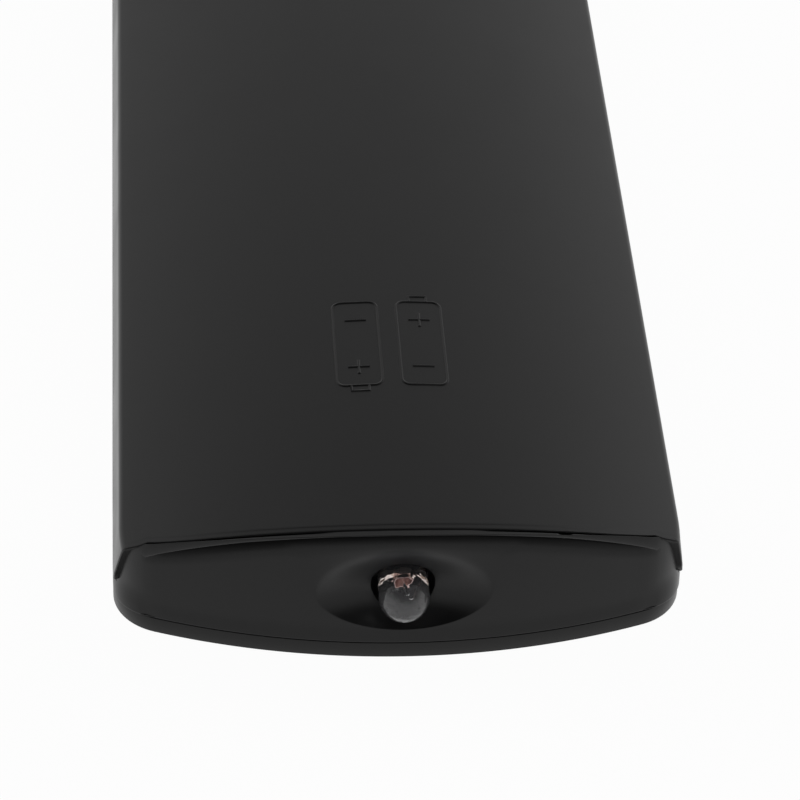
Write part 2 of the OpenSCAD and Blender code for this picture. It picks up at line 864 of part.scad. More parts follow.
module shell_screws() {
    color("silver") for (side = [-1, 1])
        translate([side * shell_screw_x, shell_screw_y, tab_z + tab_t]) screw(tab_z + tab_t - floor_z - air);
}

module board_screws() {
    color("silver") for (p = BOARD_SCREWS)
        translate([p[0], p[1], board_top]) screw(board_top - key_floor_z - air);
}

module key_cap(key) {
    color(key[5]) {
        translate([0, 0, key_inset]) linear_extrude(flange_z + flange_t - key_inset) key_plan(key);
        translate([0, 0, flange_z]) linear_extrude(flange_t) key_plan(key, flange_over);
    }
}

// The origin lies under the middle of the whole length, emitter included
module seat() {
    translate([0, led_proud / 2, 0]) children();
}

seat() front_shell();
seat() face_plate();
seat() back_shell();
seat() battery_door();
seat() keypad_mat();
seat() circuit_board();
seat() control_chip();
seat() crystal();
seat() capacitor();
seat() driver_transistor();
seat() chip_resistors();
seat() emitter_lens();
seat() emitter_leads();
seat() indicator_led();
seat() indicator_window();
seat() battery_left();
seat() battery_right();
seat() contact_springs();
seat() minus_contact();
seat() plus_contact();
seat() bridge_contact();
seat() shell_screws();
seat() board_screws();
for (key = KEYS) seat() key_cap(key);
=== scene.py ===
"""Looks of a handheld infrared remote control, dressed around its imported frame."""

import logging
from dataclasses import dataclass, replace
from enum import Enum, IntEnum
from functools import lru_cache
from math import acos, atan2, cos, hypot, pi, radians, sin, sqrt, tan
from typing import Callable, Iterable, Sequence

import bmesh
import bpy
from mathutils import Matrix, Vector


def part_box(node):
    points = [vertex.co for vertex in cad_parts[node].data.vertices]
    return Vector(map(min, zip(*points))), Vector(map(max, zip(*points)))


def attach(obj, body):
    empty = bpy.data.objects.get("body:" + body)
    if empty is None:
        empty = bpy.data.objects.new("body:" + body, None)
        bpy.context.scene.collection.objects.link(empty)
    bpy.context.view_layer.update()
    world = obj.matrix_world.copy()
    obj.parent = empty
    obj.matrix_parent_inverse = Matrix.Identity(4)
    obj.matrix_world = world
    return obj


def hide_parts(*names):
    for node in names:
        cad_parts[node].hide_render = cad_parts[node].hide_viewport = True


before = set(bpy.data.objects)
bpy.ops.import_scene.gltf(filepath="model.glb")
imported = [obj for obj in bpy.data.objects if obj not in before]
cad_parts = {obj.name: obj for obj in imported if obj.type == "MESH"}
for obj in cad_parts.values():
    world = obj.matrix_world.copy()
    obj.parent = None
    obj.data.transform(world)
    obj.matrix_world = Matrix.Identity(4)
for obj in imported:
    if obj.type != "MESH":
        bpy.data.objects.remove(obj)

LOG = logging.getLogger("remote_control")
MM = 0.001
MERGE_MM = 0.002
CREASE = 32.0
LEVEL_NORMAL = 0.9999
BEND = 0.3
CASING = "casing"
LOOK = "look_"
Socket, Material, Object = bpy.types.NodeSocket, bpy.types.Material, bpy.types.Object
Point = tuple[float, float, float]
Pair = tuple[float, float]
Colour = tuple[float, float, float]


def blend(low: float, high: float, value: float) -> float:
    """Give a smooth step of a value, from 0 at low to 1 at high."""
    share = min(1.0, max(0.0, (value - low) / (high - low)))
    return share * share * (3.0 - 2.0 * share)


def mix(a: float, b: float, share: float) -> float:
    """Give the value that lies the given share of the way from a to b."""
    return a + (b - a) * share


def box_mm(node: str) -> tuple[Vector, Vector]:
    """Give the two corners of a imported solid's box, in millimetres."""
    low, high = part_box(node)
    return low / MM, high / MM


def spaced(low: float, high: float, count: int) -> list[float]:
    """Give count evenly spaced values from low to high, both included."""
    return [mix(low, high, i / (count - 1)) for i in range(count)]


def full_turn(sides: int) -> list[float]:
    """Give the angles of evenly spaced points round a circle."""
    return [2 * pi * k / sides for k in range(sides)]


def arc(radius: float, first: float, last: float, count: int) -> list[Pair]:
    """Give points on an arc about the origin, between two angles."""
    return [(radius * cos(a), radius * sin(a)) for a in spaced(first, last, count)]


def round_edge(radius: float, count: int) -> list[Pair]:
    """Give a rounded edge, from its end to the skin: distances along the skin and below it."""
    return [(radius * (1 - sin(a)), radius * (1 - cos(a))) for a in spaced(pi / 2, 0.0, count)]


def ring(x: float, y: float, radius: float, sides: int = 48) -> list[Pair]:
    """Give the points of a circle in plan."""
    return [(x + radius * cos(a), y + radius * sin(a)) for a in full_turn(sides)]


def soft_rect(x: float, y: float, width: float, length: float, radius: float, steps: int = 8) -> list[Pair]:
    """Give the points of a rectangle with round corners in plan.

    Args:
        x, y: Place of its middle.
        width, length: Its sizes.
        radius: Radius of its corners.
        steps: Points on each corner less one.

    Returns:
        The points, from the right side round.
    """
    points = []
    for quarter, (sx, sy) in enumerate(((1, 1), (-1, 1), (-1, -1), (1, -1))):
        middle = (x + sx * (width / 2 - radius), y + sy * (length / 2 - radius))
        for k in range(steps + 1):
            angle = (quarter + k / steps) * pi / 2
            points.append((middle[0] + radius * cos(angle), middle[1] + radius * sin(angle)))
    return points


class Nodes:
    """Short way to wire up a tree of shader nodes."""

    noise_span: Pair = (0.3, 0.7)

    def __init__(self, tree: bpy.types.NodeTree) -> None:
        """Take the node tree of a material or a world."""
        self.tree = tree
        self.coords: Socket | None = None

    def add(self, kind: str, **values: object) -> bpy.types.Node:
        """Add a node.

        Args:
            kind: Type of the node.
            values: Values of input sockets by name, with underscores for spaces.

        Returns:
            The node.
        """
        node = self.tree.nodes.new(kind)
        for key, value in values.items():
            node.inputs[key.replace("_", " ")].default_value = value
        return node

    def link(self, source: Socket, target: Socket) -> bpy.types.Node:
        """Join two sockets and give the second one's node."""
        self.tree.links.new(source, target)
        return target.node

    def sum(self, operation: str, *values: "float | Socket") -> Socket:
        """Add a sum of values and sockets.

        Args:
            operation: Kind of sum.
            values: A number or a source for each input.

        Returns:
            The socket with the result.
        """
        node = self.add("ShaderNodeMath")
        node.operation = operation
        for target, value in zip(node.inputs, values):
            if isinstance(value, Socket):
                self.link(value, target)
            else:
                target.default_value = value
        return node.outputs[0]

    def noise(self, size_mm: float, detail: float = 3.0) -> Socket:
        """Add a noise in the object's own space.

        Args:
            size_mm: Size of its grains.
            detail: Number of finer layers.

        Returns:
            The socket with its value.
        """
        if self.coords is None:
            self.coords = self.add("ShaderNodeTexCoord").outputs["Object"]
        node = self.add("ShaderNodeTexNoise", Scale=1.0 / (size_mm * MM), Detail=detail)
        return self.link(self.coords, node.inputs["Vector"]).outputs["Fac"]

    def spread(self, source: Socket, low: float, high: float,
               span: Pair = noise_span) -> Socket:
        """Map a span of a value to another one.

        Args:
            source: Socket with the value.
            low, high: Results at both ends of the span.
            span: Span of the value, by default the middle range of a noise.

        Returns:
            The socket with the result.
        """
        node = self.add("ShaderNodeMapRange")
        for index, value in enumerate((*span, low, high), 1):
            node.inputs[index].default_value = value
        return self.link(source, node.inputs[0]).outputs[0]

    def bump(self, source: Socket, height_mm: float, strength: float) -> Socket:
        """Turn a value into a normal with bumps so high, at a share of their effect."""
        node = self.add("ShaderNodeBump", Distance=height_mm * MM, Strength=strength)
        return self.link(source, node.inputs["Height"]).outputs["Normal"]


class Shading(Nodes):
    """Nodes of one new material."""

    def __init__(self, name: str) -> None:
        """Make an empty material.

        Args:
            name: Name of the finish.
        """
        self.material = bpy.data.materials.new(LOOK + name)
        self.material.use_nodes = True
        super().__init__(self.material.node_tree)
        self.tree.nodes.clear()

    def shade(self, shader: bpy.types.Node) -> Material:
        """Join a shader to a new output and give the material."""
        self.link(shader.outputs[0], self.add("ShaderNodeOutputMaterial").inputs["Surface"])
        return self.material


@dataclass(frozen=True)
class Moulded:
    """Moulded plastic or rubber with a fine texture from its tool."""

    name: str
    colour: Colour
    roughness: float = 0.42
    specular: float = 0.5
    grain_mm: float = 0.16
    grain_height_mm: float = 0.012
    grain_strength: float = 0.35
    tone: float = 0.15
    tone_mm: float = 0.6
    drift: float = 0.04
    drift_mm: float = 9.0
    drift_detail: float = 2.0

    def material(self) -> Material:
        """Make the material: grain in the normal, and a soft drift in gloss and tone.

        Returns:
            The material.
        """
        nodes = Shading(self.name)
        shader = nodes.add("ShaderNodeBsdfPrincipled", Specular_IOR_Level=self.specular)
        drift = nodes.noise(self.drift_mm, self.drift_detail)
        gloss = nodes.spread(drift, self.roughness - self.drift, self.roughness + self.drift)
        nodes.link(gloss, shader.inputs["Roughness"])
        tones = nodes.add("ShaderNodeMix")
        tones.data_type = "RGBA"
        first, second, result = tones.inputs[6], tones.inputs[7], tones.outputs[2]
        for socket, share in ((first, 1.0 - self.tone), (second, 1.0 + self.tone)):
            socket.default_value = (*(c * share for c in self.colour), 1.0)
        nodes.link(nodes.noise(self.tone_mm), tones.inputs[0])
        nodes.link(result, shader.inputs["Base Color"])
        grain = nodes.bump(nodes.noise(self.grain_mm), self.grain_height_mm, self.grain_strength)
        nodes.link(grain, shader.inputs["Normal"])
        return nodes.shade(shader)


@dataclass(frozen=True)
class Metal:
    """Plated or bare metal with fine scratches and a soft drift in gloss."""

    name: str
    colour: Colour
    roughness: float = 0.25
    drift: Pair = (-0.06, 0.08)
    drift_mm: float = 1.5
    scratch_mm: float = 0.3
    scratch_height_mm: float = 0.01
    scratch_strength: float = 0.15

    def material(self) -> Material:
        """Make the material.

        Returns:
            The material.
        """
        nodes = Shading(self.name)
        shader = nodes.add("ShaderNodeBsdfPrincipled", Base_Color=(*self.colour, 1.0), Metallic=1.0)
        low, high = (self.roughness + d for d in self.drift)
        nodes.link(nodes.spread(nodes.noise(self.drift_mm), low, high), shader.inputs["Roughness"])
        scratches = nodes.bump(nodes.noise(self.scratch_mm), self.scratch_height_mm, self.scratch_strength)
        nodes.link(scratches, shader.inputs["Normal"])
        return nodes.shade(shader)


@dataclass(frozen=True)
class ClearEpoxy:
    """Water-clear cast resin with flow marks."""

    name: str
    colour: Colour = (0.96, 0.96, 1.0)
    ior: float = 1.52
    roughness: float = 0.015
    haze: float = 0.06
    mark_mm: float = 0.9
    mark_detail: float = 1.0
    mark_height_mm: float = 0.2
    mark_strength: float = 0.8

    def material(self) -> Material:
        """Make the material.

        Returns:
            The material.
        """
        nodes = Shading(self.name)
        shader = nodes.add("ShaderNodeBsdfPrincipled", Base_Color=(*self.colour, 1.0), IOR=self.ior,
                           Roughness=self.roughness, Transmission_Weight=1.0 - self.haze)
        marks = nodes.noise(self.mark_mm, self.mark_detail)
        nodes.link(nodes.bump(marks, self.mark_height_mm, self.mark_strength), shader.inputs["Normal"])
        return nodes.shade(shader)


@dataclass(frozen=True)
class StudioFloor:
    """Pale floor that the camera and mirrors see as white, with the object's shadow kept."""

    name: str
    colour: Colour = (0.86, 0.86, 0.86)
    glow: float = 0.97

    def material(self) -> Material:
        """Make the material.

        Returns:
            The material.
        """
        nodes = Shading(self.name)
        base = nodes.add("ShaderNodeBsdfDiffuse", Color=(*self.colour, 1.0))
        white = nodes.add("ShaderNodeEmission", Color=(1.0, 1.0, 1.0, 1.0), Strength=1.0)
        path = nodes.add("ShaderNodeLightPath")
        seen = path.outputs["Is Camera Ray"]
        for name in ("Is Glossy Ray", "Is Transmission Ray"):
            seen = nodes.sum("MAXIMUM", seen, path.outputs[name])
        both = nodes.add("ShaderNodeMixShader")
        sources = (nodes.sum("MULTIPLY", seen, self.glow), base.outputs[0], white.outputs[0])
        for source, target in zip(sources, both.inputs):
            nodes.link(source, target)
        return nodes.shade(both)


def key_plastic(name: str, colour: Colour, tone: float = 0.05) -> Moulded:
    """Give the finish of a key's cap."""
    return Moulded(name, colour, 0.45, 0.4, grain_strength=0.2, tone=tone)


def ink(name: str, colour: Colour) -> Moulded:
    """Give the finish of a print."""
    return Moulded(name, colour, 0.55, 0.3, grain_strength=0.1, tone=0.03)


class Finish(Enum):
    """Finishes of the pieces, each by the recipe that makes it."""

    CASING = Moulded("casing_black", (0.006, 0.006, 0.0061), 0.32, 0.235)
    FACE = Moulded("face_black", (0.0068, 0.0068, 0.0066), 0.36, 0.26)
    KEY_DARK = key_plastic("key_dark", (0.045, 0.045, 0.048), 0.15)
    KEY_GREY = key_plastic("key_grey", (0.33, 0.335, 0.345), 0.04)
    KEY_RED = key_plastic("key_red", (0.5, 0.035, 0.03))
    KEY_GREEN = key_plastic("key_green", (0.03, 0.27, 0.07))
    KEY_YELLOW = key_plastic("key_yellow", (0.75, 0.52, 0.04))
    KEY_BLUE = key_plastic("key_blue", (0.03, 0.09, 0.42))
    PRINT_PALE = ink("print_pale", (0.72, 0.72, 0.7))
    PRINT_DARK = ink("print_dark", (0.02, 0.02, 0.022))
    RUBBER = Moulded("mat_rubber", (0.27, 0.28, 0.29), 0.75, 0.25, tone=0.05)
    BOARD = Moulded("board_green", (0.05, 0.16, 0.06), 0.35, 0.5, grain_mm=0.8, tone=0.25)
    CHIP = Moulded("chip_black", (0.02, 0.02, 0.022), 0.6, 0.3)
    SLEEVE_BLUE = Moulded("sleeve_blue", (0.04, 0.06, 0.14), 0.25, 0.5, grain_strength=0.1)
    LAMP_BODY = Moulded("indicator_body", (0.7, 0.67, 0.6), 0.3, 0.5, tone=0.04)
    LAMP_WINDOW = Moulded("indicator_red", (0.16, 0.012, 0.014), 0.12, 0.5, grain_strength=0.05)
    CELL_SLEEVE = Moulded("cell_sleeve", (0.035, 0.038, 0.042), 0.28, 0.5, grain_mm=0.5, grain_strength=0.1)
    CELL_BAND = Moulded("cell_band", (0.55, 0.3, 0.08), 0.3, 0.5, grain_mm=0.5, grain_strength=0.1)
    CAN = Metal("can_metal", (0.68, 0.68, 0.7), 0.32)
    NICKEL = Metal("contact_nickel", (0.72, 0.71, 0.68), 0.22)
    ZINC = Metal("screw_zinc", (0.62, 0.62, 0.6), 0.3)
    COPPER = Metal("lead_metal", (0.88, 0.76, 0.68), 0.22)
    SILVERED = Metal("lead_silver", (0.88, 0.86, 0.84), 0.14)
    CUP = Metal("cup_metal", (0.5, 0.37, 0.34), 0.18)
    EPOXY = ClearEpoxy("emitter_clear")
    FLOOR = StudioFloor("studio_floor")

    @property
    def material(self) -> Material:
        """Give the finish's material, made on first use."""
        return bpy.data.materials.get(LOOK + self.value.name) or self.value.material()


def finish_mesh(name: str, mesh: bpy.types.Mesh, crease: float = CREASE,
                level_faces: bool = False) -> Object:
    """Weld, orient and smooth a mesh, and link an object that holds it.

    Args:
        name: Name of the object.
        mesh: Mesh in metres.
        crease: Angle in degrees above which an edge stays sharp.
        level_faces: Whether level faces stay flat in their shading, up to their edges.

    Returns:
        The new object.
    """
    work = bmesh.new()
    work.from_mesh(mesh)
    bmesh.ops.remove_doubles(work, verts=work.verts, dist=MERGE_MM * MM)
    bmesh.ops.recalc_face_normals(work, faces=work.faces)
    limit = radians(crease)
    for edge in work.edges:
        edge.smooth = edge.calc_face_angle(0.0) < limit
        if level_faces and len({abs(face.normal.z) > LEVEL_NORMAL for face in edge.link_faces}) > 1:
            edge.smooth = False
    for face in work.faces:
        face.smooth = True
    work.to_mesh(mesh)
    work.free()
    piece = bpy.data.objects.new(name, mesh)
    bpy.context.scene.collection.objects.link(piece)
    return piece


def dress(piece: Object, body: str, finish: Finish, *stands_for: str) -> Object:
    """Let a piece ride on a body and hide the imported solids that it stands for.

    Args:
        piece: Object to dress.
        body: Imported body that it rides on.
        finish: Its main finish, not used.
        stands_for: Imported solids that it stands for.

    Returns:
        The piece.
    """
    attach(piece, body)
    if stands_for:
        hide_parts(*stands_for)
    LOG.info("%s rides on %s", piece.name, body)
    return piece


def mesh_of(name: str, curve: bpy.types.Curve) -> bpy.types.Mesh:
    """Turn a curve or text into a mesh.

    Args:
        name: Name of the mesh.
        curve: Curve data.

    Returns:
        The mesh.
    """
    holder = bpy.data.objects.new(name + "_curve", curve)
    bpy.context.scene.collection.objects.link(holder)
    bpy.context.view_layer.update()
    mesh = bpy.data.meshes.new_from_object(holder.evaluated_get(bpy.context.evaluated_depsgraph_get()))
    bpy.data.objects.remove(holder)
    mesh.name = name
    return mesh


def plate(name: str, loops: Sequence[Sequence[Pair]], low_z: float, high_z: float, edge: float,
          finish: Finish, *stands_for: str) -> None:
    """Make a flat plate of the casing, with holes and rounded edges.

    Args:
        name: Name of the object.
        loops: Outline of the plate and then of each hole.
        low_z, high_z: Heights of its faces.
        edge: Radius of all its edges.
        finish: Finish of the plate.
        stands_for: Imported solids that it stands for.
    """
    curve = bpy.data.curves.new(name, "CURVE")
    curve.dimensions = "2D"
    curve.fill_mode = "BOTH"
    curve.extrude = ((high_z - low_z) / 2 - edge) * MM
    curve.bevel_depth = edge * MM
    curve.bevel_resolution = 2
    curve.offset = -edge * MM
    for loop in loops:
        spline = curve.splines.new("POLY")
        spline.points.add(len(loop) - 1)
        for point, (x, y) in zip(spline.points, loop):
            point.co = (x * MM, y * MM, 0.0, 1.0)
        spline.use_cyclic_u = True
    curve.materials.append(finish.material)
    mesh = mesh_of(name, curve)
    mesh.transform(Matrix.Translation((0, 0, (low_z + high_z) / 2 * MM)))
    dress(finish_mesh(name, mesh, level_faces=True), CASING, finish, *stands_for)


class Mesher:
    """Collects points and faces in millimetres and turns them into one object."""

    def __init__(self) -> None:
        """Start with no points and no faces."""
        self.points: list[Point] = []
        self.faces: list[tuple[int, ...]] = []
        self.slots: list[int] = []

    def row(self, points: Iterable[Point]) -> list[int]:
        """Add points and give their numbers."""
        self.points.extend(found := list(points))
        return list(range(len(self.points) - len(found), len(self.points)))

    def face(self, *corners: int, slot: int = 0) -> None:
        """Add one face by the numbers of its corners."""
        self.faces.append(corners)
        self.slots.append(slot)

    def strip(self, low: Sequence[int], high: Sequence[int], ring: bool = False, slot: int = 0) -> None:
        """Join two rows of points with a strip of four-sided faces.

        Args:
            low, high: Numbers of both rows, equally many.
            ring: Whether each row closes on itself.
            slot: Material slot.
        """
        count = len(low)
        for i in range(count if ring else count - 1):
            j = (i + 1) % count
            self.face(low[i], low[j], high[j], high[i], slot=slot)

    def loft(self, rows: Sequence[Sequence[int]], ring: bool = False, closed: bool = False,
             slot: int = 0) -> None:
        """Join rows of points one after another.

        Args:
            rows: Numbers of each row.
            ring: Whether each row closes on itself.
            closed: Whether the last row joins the first.
            slot: Material slot.
        """
        for low, high in zip(rows, rows[1:]):
            self.strip(low, high, ring, slot)
        if closed:
            self.strip(rows[-1], rows[0], ring, slot)

    def barrel(self, rows: Sequence[Sequence[int]], slot: int = 0) -> None:
        """Join closed rows one after another and close both ends.

        Args:
            rows: Numbers of each row.
            slot: Material slot.
        """
        self.loft(rows, ring=True, slot=slot)
        for end in (rows[0], rows[-1]):
            self.face(*end, slot=slot)

    def tube(self, path: Sequence[Vector], radius: float, sides: int, slot: int = 0) -> None:
        """Sweep a round wire along a path and close its ends.

        Args:
            path: Points of the wire's middle.
            radius, sides: Radius and number of sides of the wire.
            slot: Material slot.
        """
        side = (path[1] - path[0]).orthogonal().normalized()
        rows = []
        for i, centre in enumerate(path):
            ahead = (path[min(i + 1, len(path) - 1)] - path[max(i - 1, 0)]).normalized()
            side = (side - ahead * side.dot(ahead)).normalized()
            other = ahead.cross(side)
            rows.append(self.row(tuple(centre + radius * (side * cos(a) + other * sin(a)))
                                 for a in full_turn(sides)))
        self.barrel(rows, slot)

    def block(self, low: Point, high: Point, slot: int = 0) -> None:
        """Add a box.

        Args:
            low, high: Its opposite corners.
            slot: Material slot.
        """
        (x0, y0, z0), (x1, y1, z1) = low, high
        plan = ((x0, y0), (x1, y0), (x1, y1), (x0, y1))
        self.barrel([self.row((x, y, z) for x, y in plan) for z in (z0, z1)], slot)

    def twins(self, low: Point, high: Point) -> None:
        """Add a box on the right side, by its corners, and its mirror image on the left."""
        self.block((-high[0], *low[1:]), (-low[0], *high[1:]))
        self.block(low, high)

    def lathe(self, profile: Sequence[Pair], turn: Callable[[float, float, float], Point], sides: int = 40,
              slots: Sequence[int] = ()) -> None:
        """Turn a profile about an axis.

        Args:
            profile: Radius and distance along the axis of each ring.
            turn: Gives a place from the distance along the axis and two cross coordinates.
            sides: Number of sides.
            slots: Material slot of each stretch, or nothing for slot 0.
        """
        rows = [self.row(turn(along, radius * cos(a), radius * sin(a)) for a in full_turn(sides))
                for radius, along in profile]
        for i, (low, high) in enumerate(zip(rows, rows[1:])):
            self.strip(low, high, ring=True, slot=slots[i] if slots else 0)

    def build(self, name: str, finishes: Sequence[Finish], crease: float = CREASE) -> Object:
        """Make the object.

        Args:
            name: Name of the object.
            finishes: Finish of each slot.
            crease: Angle in degrees above which an edge stays sharp.

        Returns:
            The new object, at the origin.
        """
        mesh = bpy.data.meshes.new(name)
        mesh.from_pydata([tuple(c * MM for c in p) for p in self.points], [], self.faces)
        for finish in finishes:
            mesh.materials.append(finish.material)
        mesh.polygons.foreach_set("material_index", self.slots)
        return finish_mesh(name, mesh, crease)

    def piece(self, name: str, *stands_for: str, body: str = CASING,
              finishes: Sequence[Finish] = (Finish.CASING,), crease: float = CREASE) -> Object:
        """Make the object and dress it, with its main finish first."""
        return dress(self.build(name, finishes, crease), body, finishes[0], *stands_for)


@dataclass(frozen=True)
class Station:
    """A place on the plan outline, with its inward direction."""

    x: float
    y: float
    nx: float
    ny: float

    def inside(self, depth: float, z: float) -> Point:
        """Give the point so far inside the outline, at height z."""
        return (self.x + self.nx * depth, self.y + self.ny * depth, z)


@dataclass(frozen=True)
class Body:
    """Main form of the handset: plan outline, crowned back and the seam at the emitter end."""

    end_y: float
    tail_y: float
    top_z: float
    door_y: float
    half_w: float = 28.5
    crown_r: float = 73.3
    end_r: float = 72.0
    corner_r: float = 5.0
    part_z: float = 5.0
    corner_dip: float = 0.8
    dip_span: Pair = (10.0, 18.0)
    lean: float = radians(8.0)
    wall: float = 1.5
    edge_r: float = 0.85
    inner_r: float = 0.3
    foot_r: float = 0.2
    foot_gap: float = 0.1
    seam_set: float = 0.77
    seam_r: float = 181.0
    seam_lean: float = radians(20.0)
    seam_gap: float = 0.35
    plate_t: float = 1.8
    floor_z: float = 2.8
    side_t: float = 2.5
    side_steps: tuple[float, ...] = (1.2, 2.5, 4.0, 5.7)
    side_count: int = 24
    corner_count: int = 12
    tail_count: int = 41
    flank_count: int = 6
    edge_count: int = 8
    crown_count: int = 29
    touch_rounds: int = 40

    @classmethod
    def from_frame(cls, tongue_l: float = 2.6) -> "Body":
        """Take the ends, the top and the door's seam, which its tongues reach past, from the solids."""
        low, high = box_mm("front_shell")
        return cls(low.y, high.y, box_mm("back_shell")[1].z, box_mm("battery_door")[0].y + tongue_l)

    @property
    def corner_set(self) -> float:
        """Distance from an end to the middles of its corner arcs."""
        across = self.half_w - self.corner_r
        return self.end_r - sqrt((self.end_r - self.corner_r) ** 2 - across ** 2)

    @property
    def corner_angle(self) -> float:
        """Turn of a corner arc, from the side to the end's arc."""
        return acos((self.half_w - self.corner_r) / (self.end_r - self.corner_r))

    @property
    def foot_z(self) -> float:
        """Height of the back's lower edge, a hair above the parting line."""
        return self.part_z + self.foot_gap

    def foot_at(self, y: float) -> float:
        """Give the height of the back's lower edge at y."""
        return round(self.split_z(y) + self.foot_gap, 3)

    def fillet(self, inset: float) -> float:
        """Give the radius of the edge between flank and crown, outside or inside the wall."""
        return self.inner_r if inset else self.edge_r

    def crown(self, x: float, inset: float = 0.0) -> float:
        """Give the height of the crowned back at x."""
        radius = self.crown_r - inset
        return self.top_z - self.crown_r + sqrt(radius ** 2 - x ** 2)

    def half_width(self, y: float) -> float:
        """Give the half width of the plan outline.

        Args:
            y: Place along the body.

        Returns:
            The half width there.
        """
        along = min(y - self.end_y, self.tail_y - y)
        if along >= self.corner_set:
            return self.half_w
        arc_end = self.corner_set - self.corner_r * sin(self.corner_angle)
        if along >= arc_end:
            rise = self.corner_set - along
            return self.half_w - self.corner_r + sqrt(self.corner_r ** 2 - rise ** 2)
        return sqrt(max(0.0, self.end_r ** 2 - (self.end_r - along) ** 2))

    def seam_y(self, x: float, z: float, gap: float = 0.0) -> float:
        """Give the place of the leaning, curved seam at the emitter end."""
        bow = (self.seam_r - sqrt(self.seam_r ** 2 - x ** 2)) / cos(self.seam_lean)
        return self.end_y + self.seam_set + gap + bow + (self.top_z - z) * tan(self.seam_lean)

    def split_z(self, y: float) -> float:
        """Give the height of the parting line at y; it dips towards the emitter end's corners."""
        return self.part_z - self.corner_dip * (1.0 - blend(*self.dip_span, y - self.end_y))

    def corner(self, sign: float, tail: bool, inset: float = 0.0) -> list[Station]:
        """Give stations on one corner arc, from the side towards the end.

        Args:
            sign, tail: Its side, 1 for the right one, and whether it is at the tail.
            inset: Distance inside the outline.

        Returns:
            The stations.
        """
        flip = 1.0 if tail else -1.0
        middle_x = sign * (self.half_w - self.corner_r)
        middle_y = self.tail_y - self.corner_set if tail else self.end_y + self.corner_set
        radius = self.corner_r - inset
        stations = []
        for angle in spaced(0.0, self.corner_angle, self.corner_count):
            nx, ny = -sign * cos(angle), -flip * sin(angle)
            stations.append(Station(middle_x - nx * radius, middle_y - ny * radius, nx, ny))
        return stations

    def end_arc(self, xs: Iterable[float], tail: bool, inset: float = 0.0) -> list[Station]:
        """Give stations on the large arc of one end.

        Args:
            xs, tail: Places across, and whether the end is the tail.
            inset: Distance inside the outline.

        Returns:
            The stations.
        """
        radius = self.end_r - inset
        stations = []
        for x in xs:
            away = sqrt(radius ** 2 - x ** 2)
            y = self.tail_y - self.end_r + away if tail else self.end_y + self.end_r - away
            stations.append(Station(x, y, -x / radius, -away / radius if tail else away / radius))
        return stations

    def arc_half(self, inset: float = 0.0) -> float:
        """Give the half width of an end's large arc."""
        return (self.end_r - inset) * cos(self.corner_angle)

    def tail_round(self, inset: float = 0.0) -> list[Station]:
        """Give stations round the tail, from the left corner to the right one.

        Args:
            inset: Distance inside the outline.

        Returns:
            The stations.
        """
        reach = self.arc_half(inset)
        return (self.corner(-1, True, inset)[:-1]
                + self.end_arc(spaced(-reach, reach, self.tail_count), True, inset)
                + self.corner(1, True, inset)[-2::-1])

    def outline(self, front_xs: Sequence[float], inset: float = 0.0) -> list[Station]:
        """Give stations all round the plan, from the right side over the emitter end, the left side and the tail.

        Args:
            front_xs: Places across on the emitter end's arc, from right to left.
            inset: Distance inside the outline.

        Returns:
            The stations of the closed loop.
        """
        near, far = self.end_y + self.corner_set, self.tail_y - self.corner_set
        ys = [near + step for step in self.side_steps] + spaced(near, far, self.side_count)[1:-1]
        side_x = self.half_w - inset
        return (self.corner(1, False, inset)[:-1]
                + self.end_arc(front_xs, False, inset)
                + self.corner(-1, False, inset)[-2::-1]
                + [Station(-side_x, y, 1.0, 0.0) for y in ys]
                + self.tail_round(inset)
                + [Station(side_x, y, -1.0, 0.0) for y in reversed(ys)])

    @lru_cache(maxsize=4096)
    def half_rib(self, half_w: float, inset: float, foot_z: float) -> tuple[tuple[float, ...], ...]:
        """Give half a cross-section, from the foot of the flank to the middle of the crown.

        Args:
            half_w, foot_z: Half width of the outline there, and height of the flank's foot.
            inset: Distance inside the outer form.

        Returns:
            Place across, height and outward direction of each point.
        """
        fillet, foot_r = self.fillet(inset), self.foot_r
        slope = tan(self.lean)
        out_x, out_z = cos(self.lean), sin(self.lean)
        reach, middle_z = self.crown_r - inset, self.top_z - self.crown_r
        start = half_w - inset - fillet / out_x + self.part_z * slope
        a = slope ** 2 + 1.0
        b = -2.0 * (start * slope + middle_z)
        c = start ** 2 + middle_z ** 2 - (reach - fillet) ** 2
        z = (-b + sqrt(b * b - 4 * a * c)) / (2 * a)
        x = start - slope * z
        flank_x = half_w - inset - max(0.0, foot_z - self.part_z) * slope
        points = [(flank_x - foot_r, foot_z, 0.0, -1.0),
                  (flank_x - foot_r * BEND, foot_z + foot_r * BEND, 1 - BEND, BEND - 1)]
        for height in spaced(foot_z + foot_r, z + fillet * out_z, self.flank_count)[:-1]:
            points.append((half_w - inset - max(0.0, height - self.part_z) * slope, height, out_x, out_z))
        for angle in spaced(self.lean, atan2(z - middle_z, x), self.edge_count):
            nx, nz = cos(angle), sin(angle)
            points.append((x + fillet * nx, z + fillet * nz, nx, nz))
        edge_x = points[-1][0]
        for share in spaced(0.0, 1.0, self.crown_count)[1:]:
            across = edge_x * (1.0 - share)
            height = middle_z + sqrt(reach ** 2 - across ** 2)
            points.append((across, height, across / reach, (height - middle_z) / reach))
        return tuple(points)

    def tail_rib(self, station: Station, inset: float) -> list[Point]:
        """Give one rib of the tail, from its foot on the outline to the end of the crown's ridge.

        Args:
            station: Place on the outline, drawn in by the inset.
            inset: Distance inside the outer form.

        Returns:
            As many points as a half section has.
        """
        lean = self.lean * station.nx ** 2
        slope = tan(lean)
        fillet, foot_r = self.fillet(inset), self.foot_r

        def height(depth: float) -> float:
            """Give the height of the crown so far inside the station."""
            return self.crown(station.x + station.nx * depth, inset)

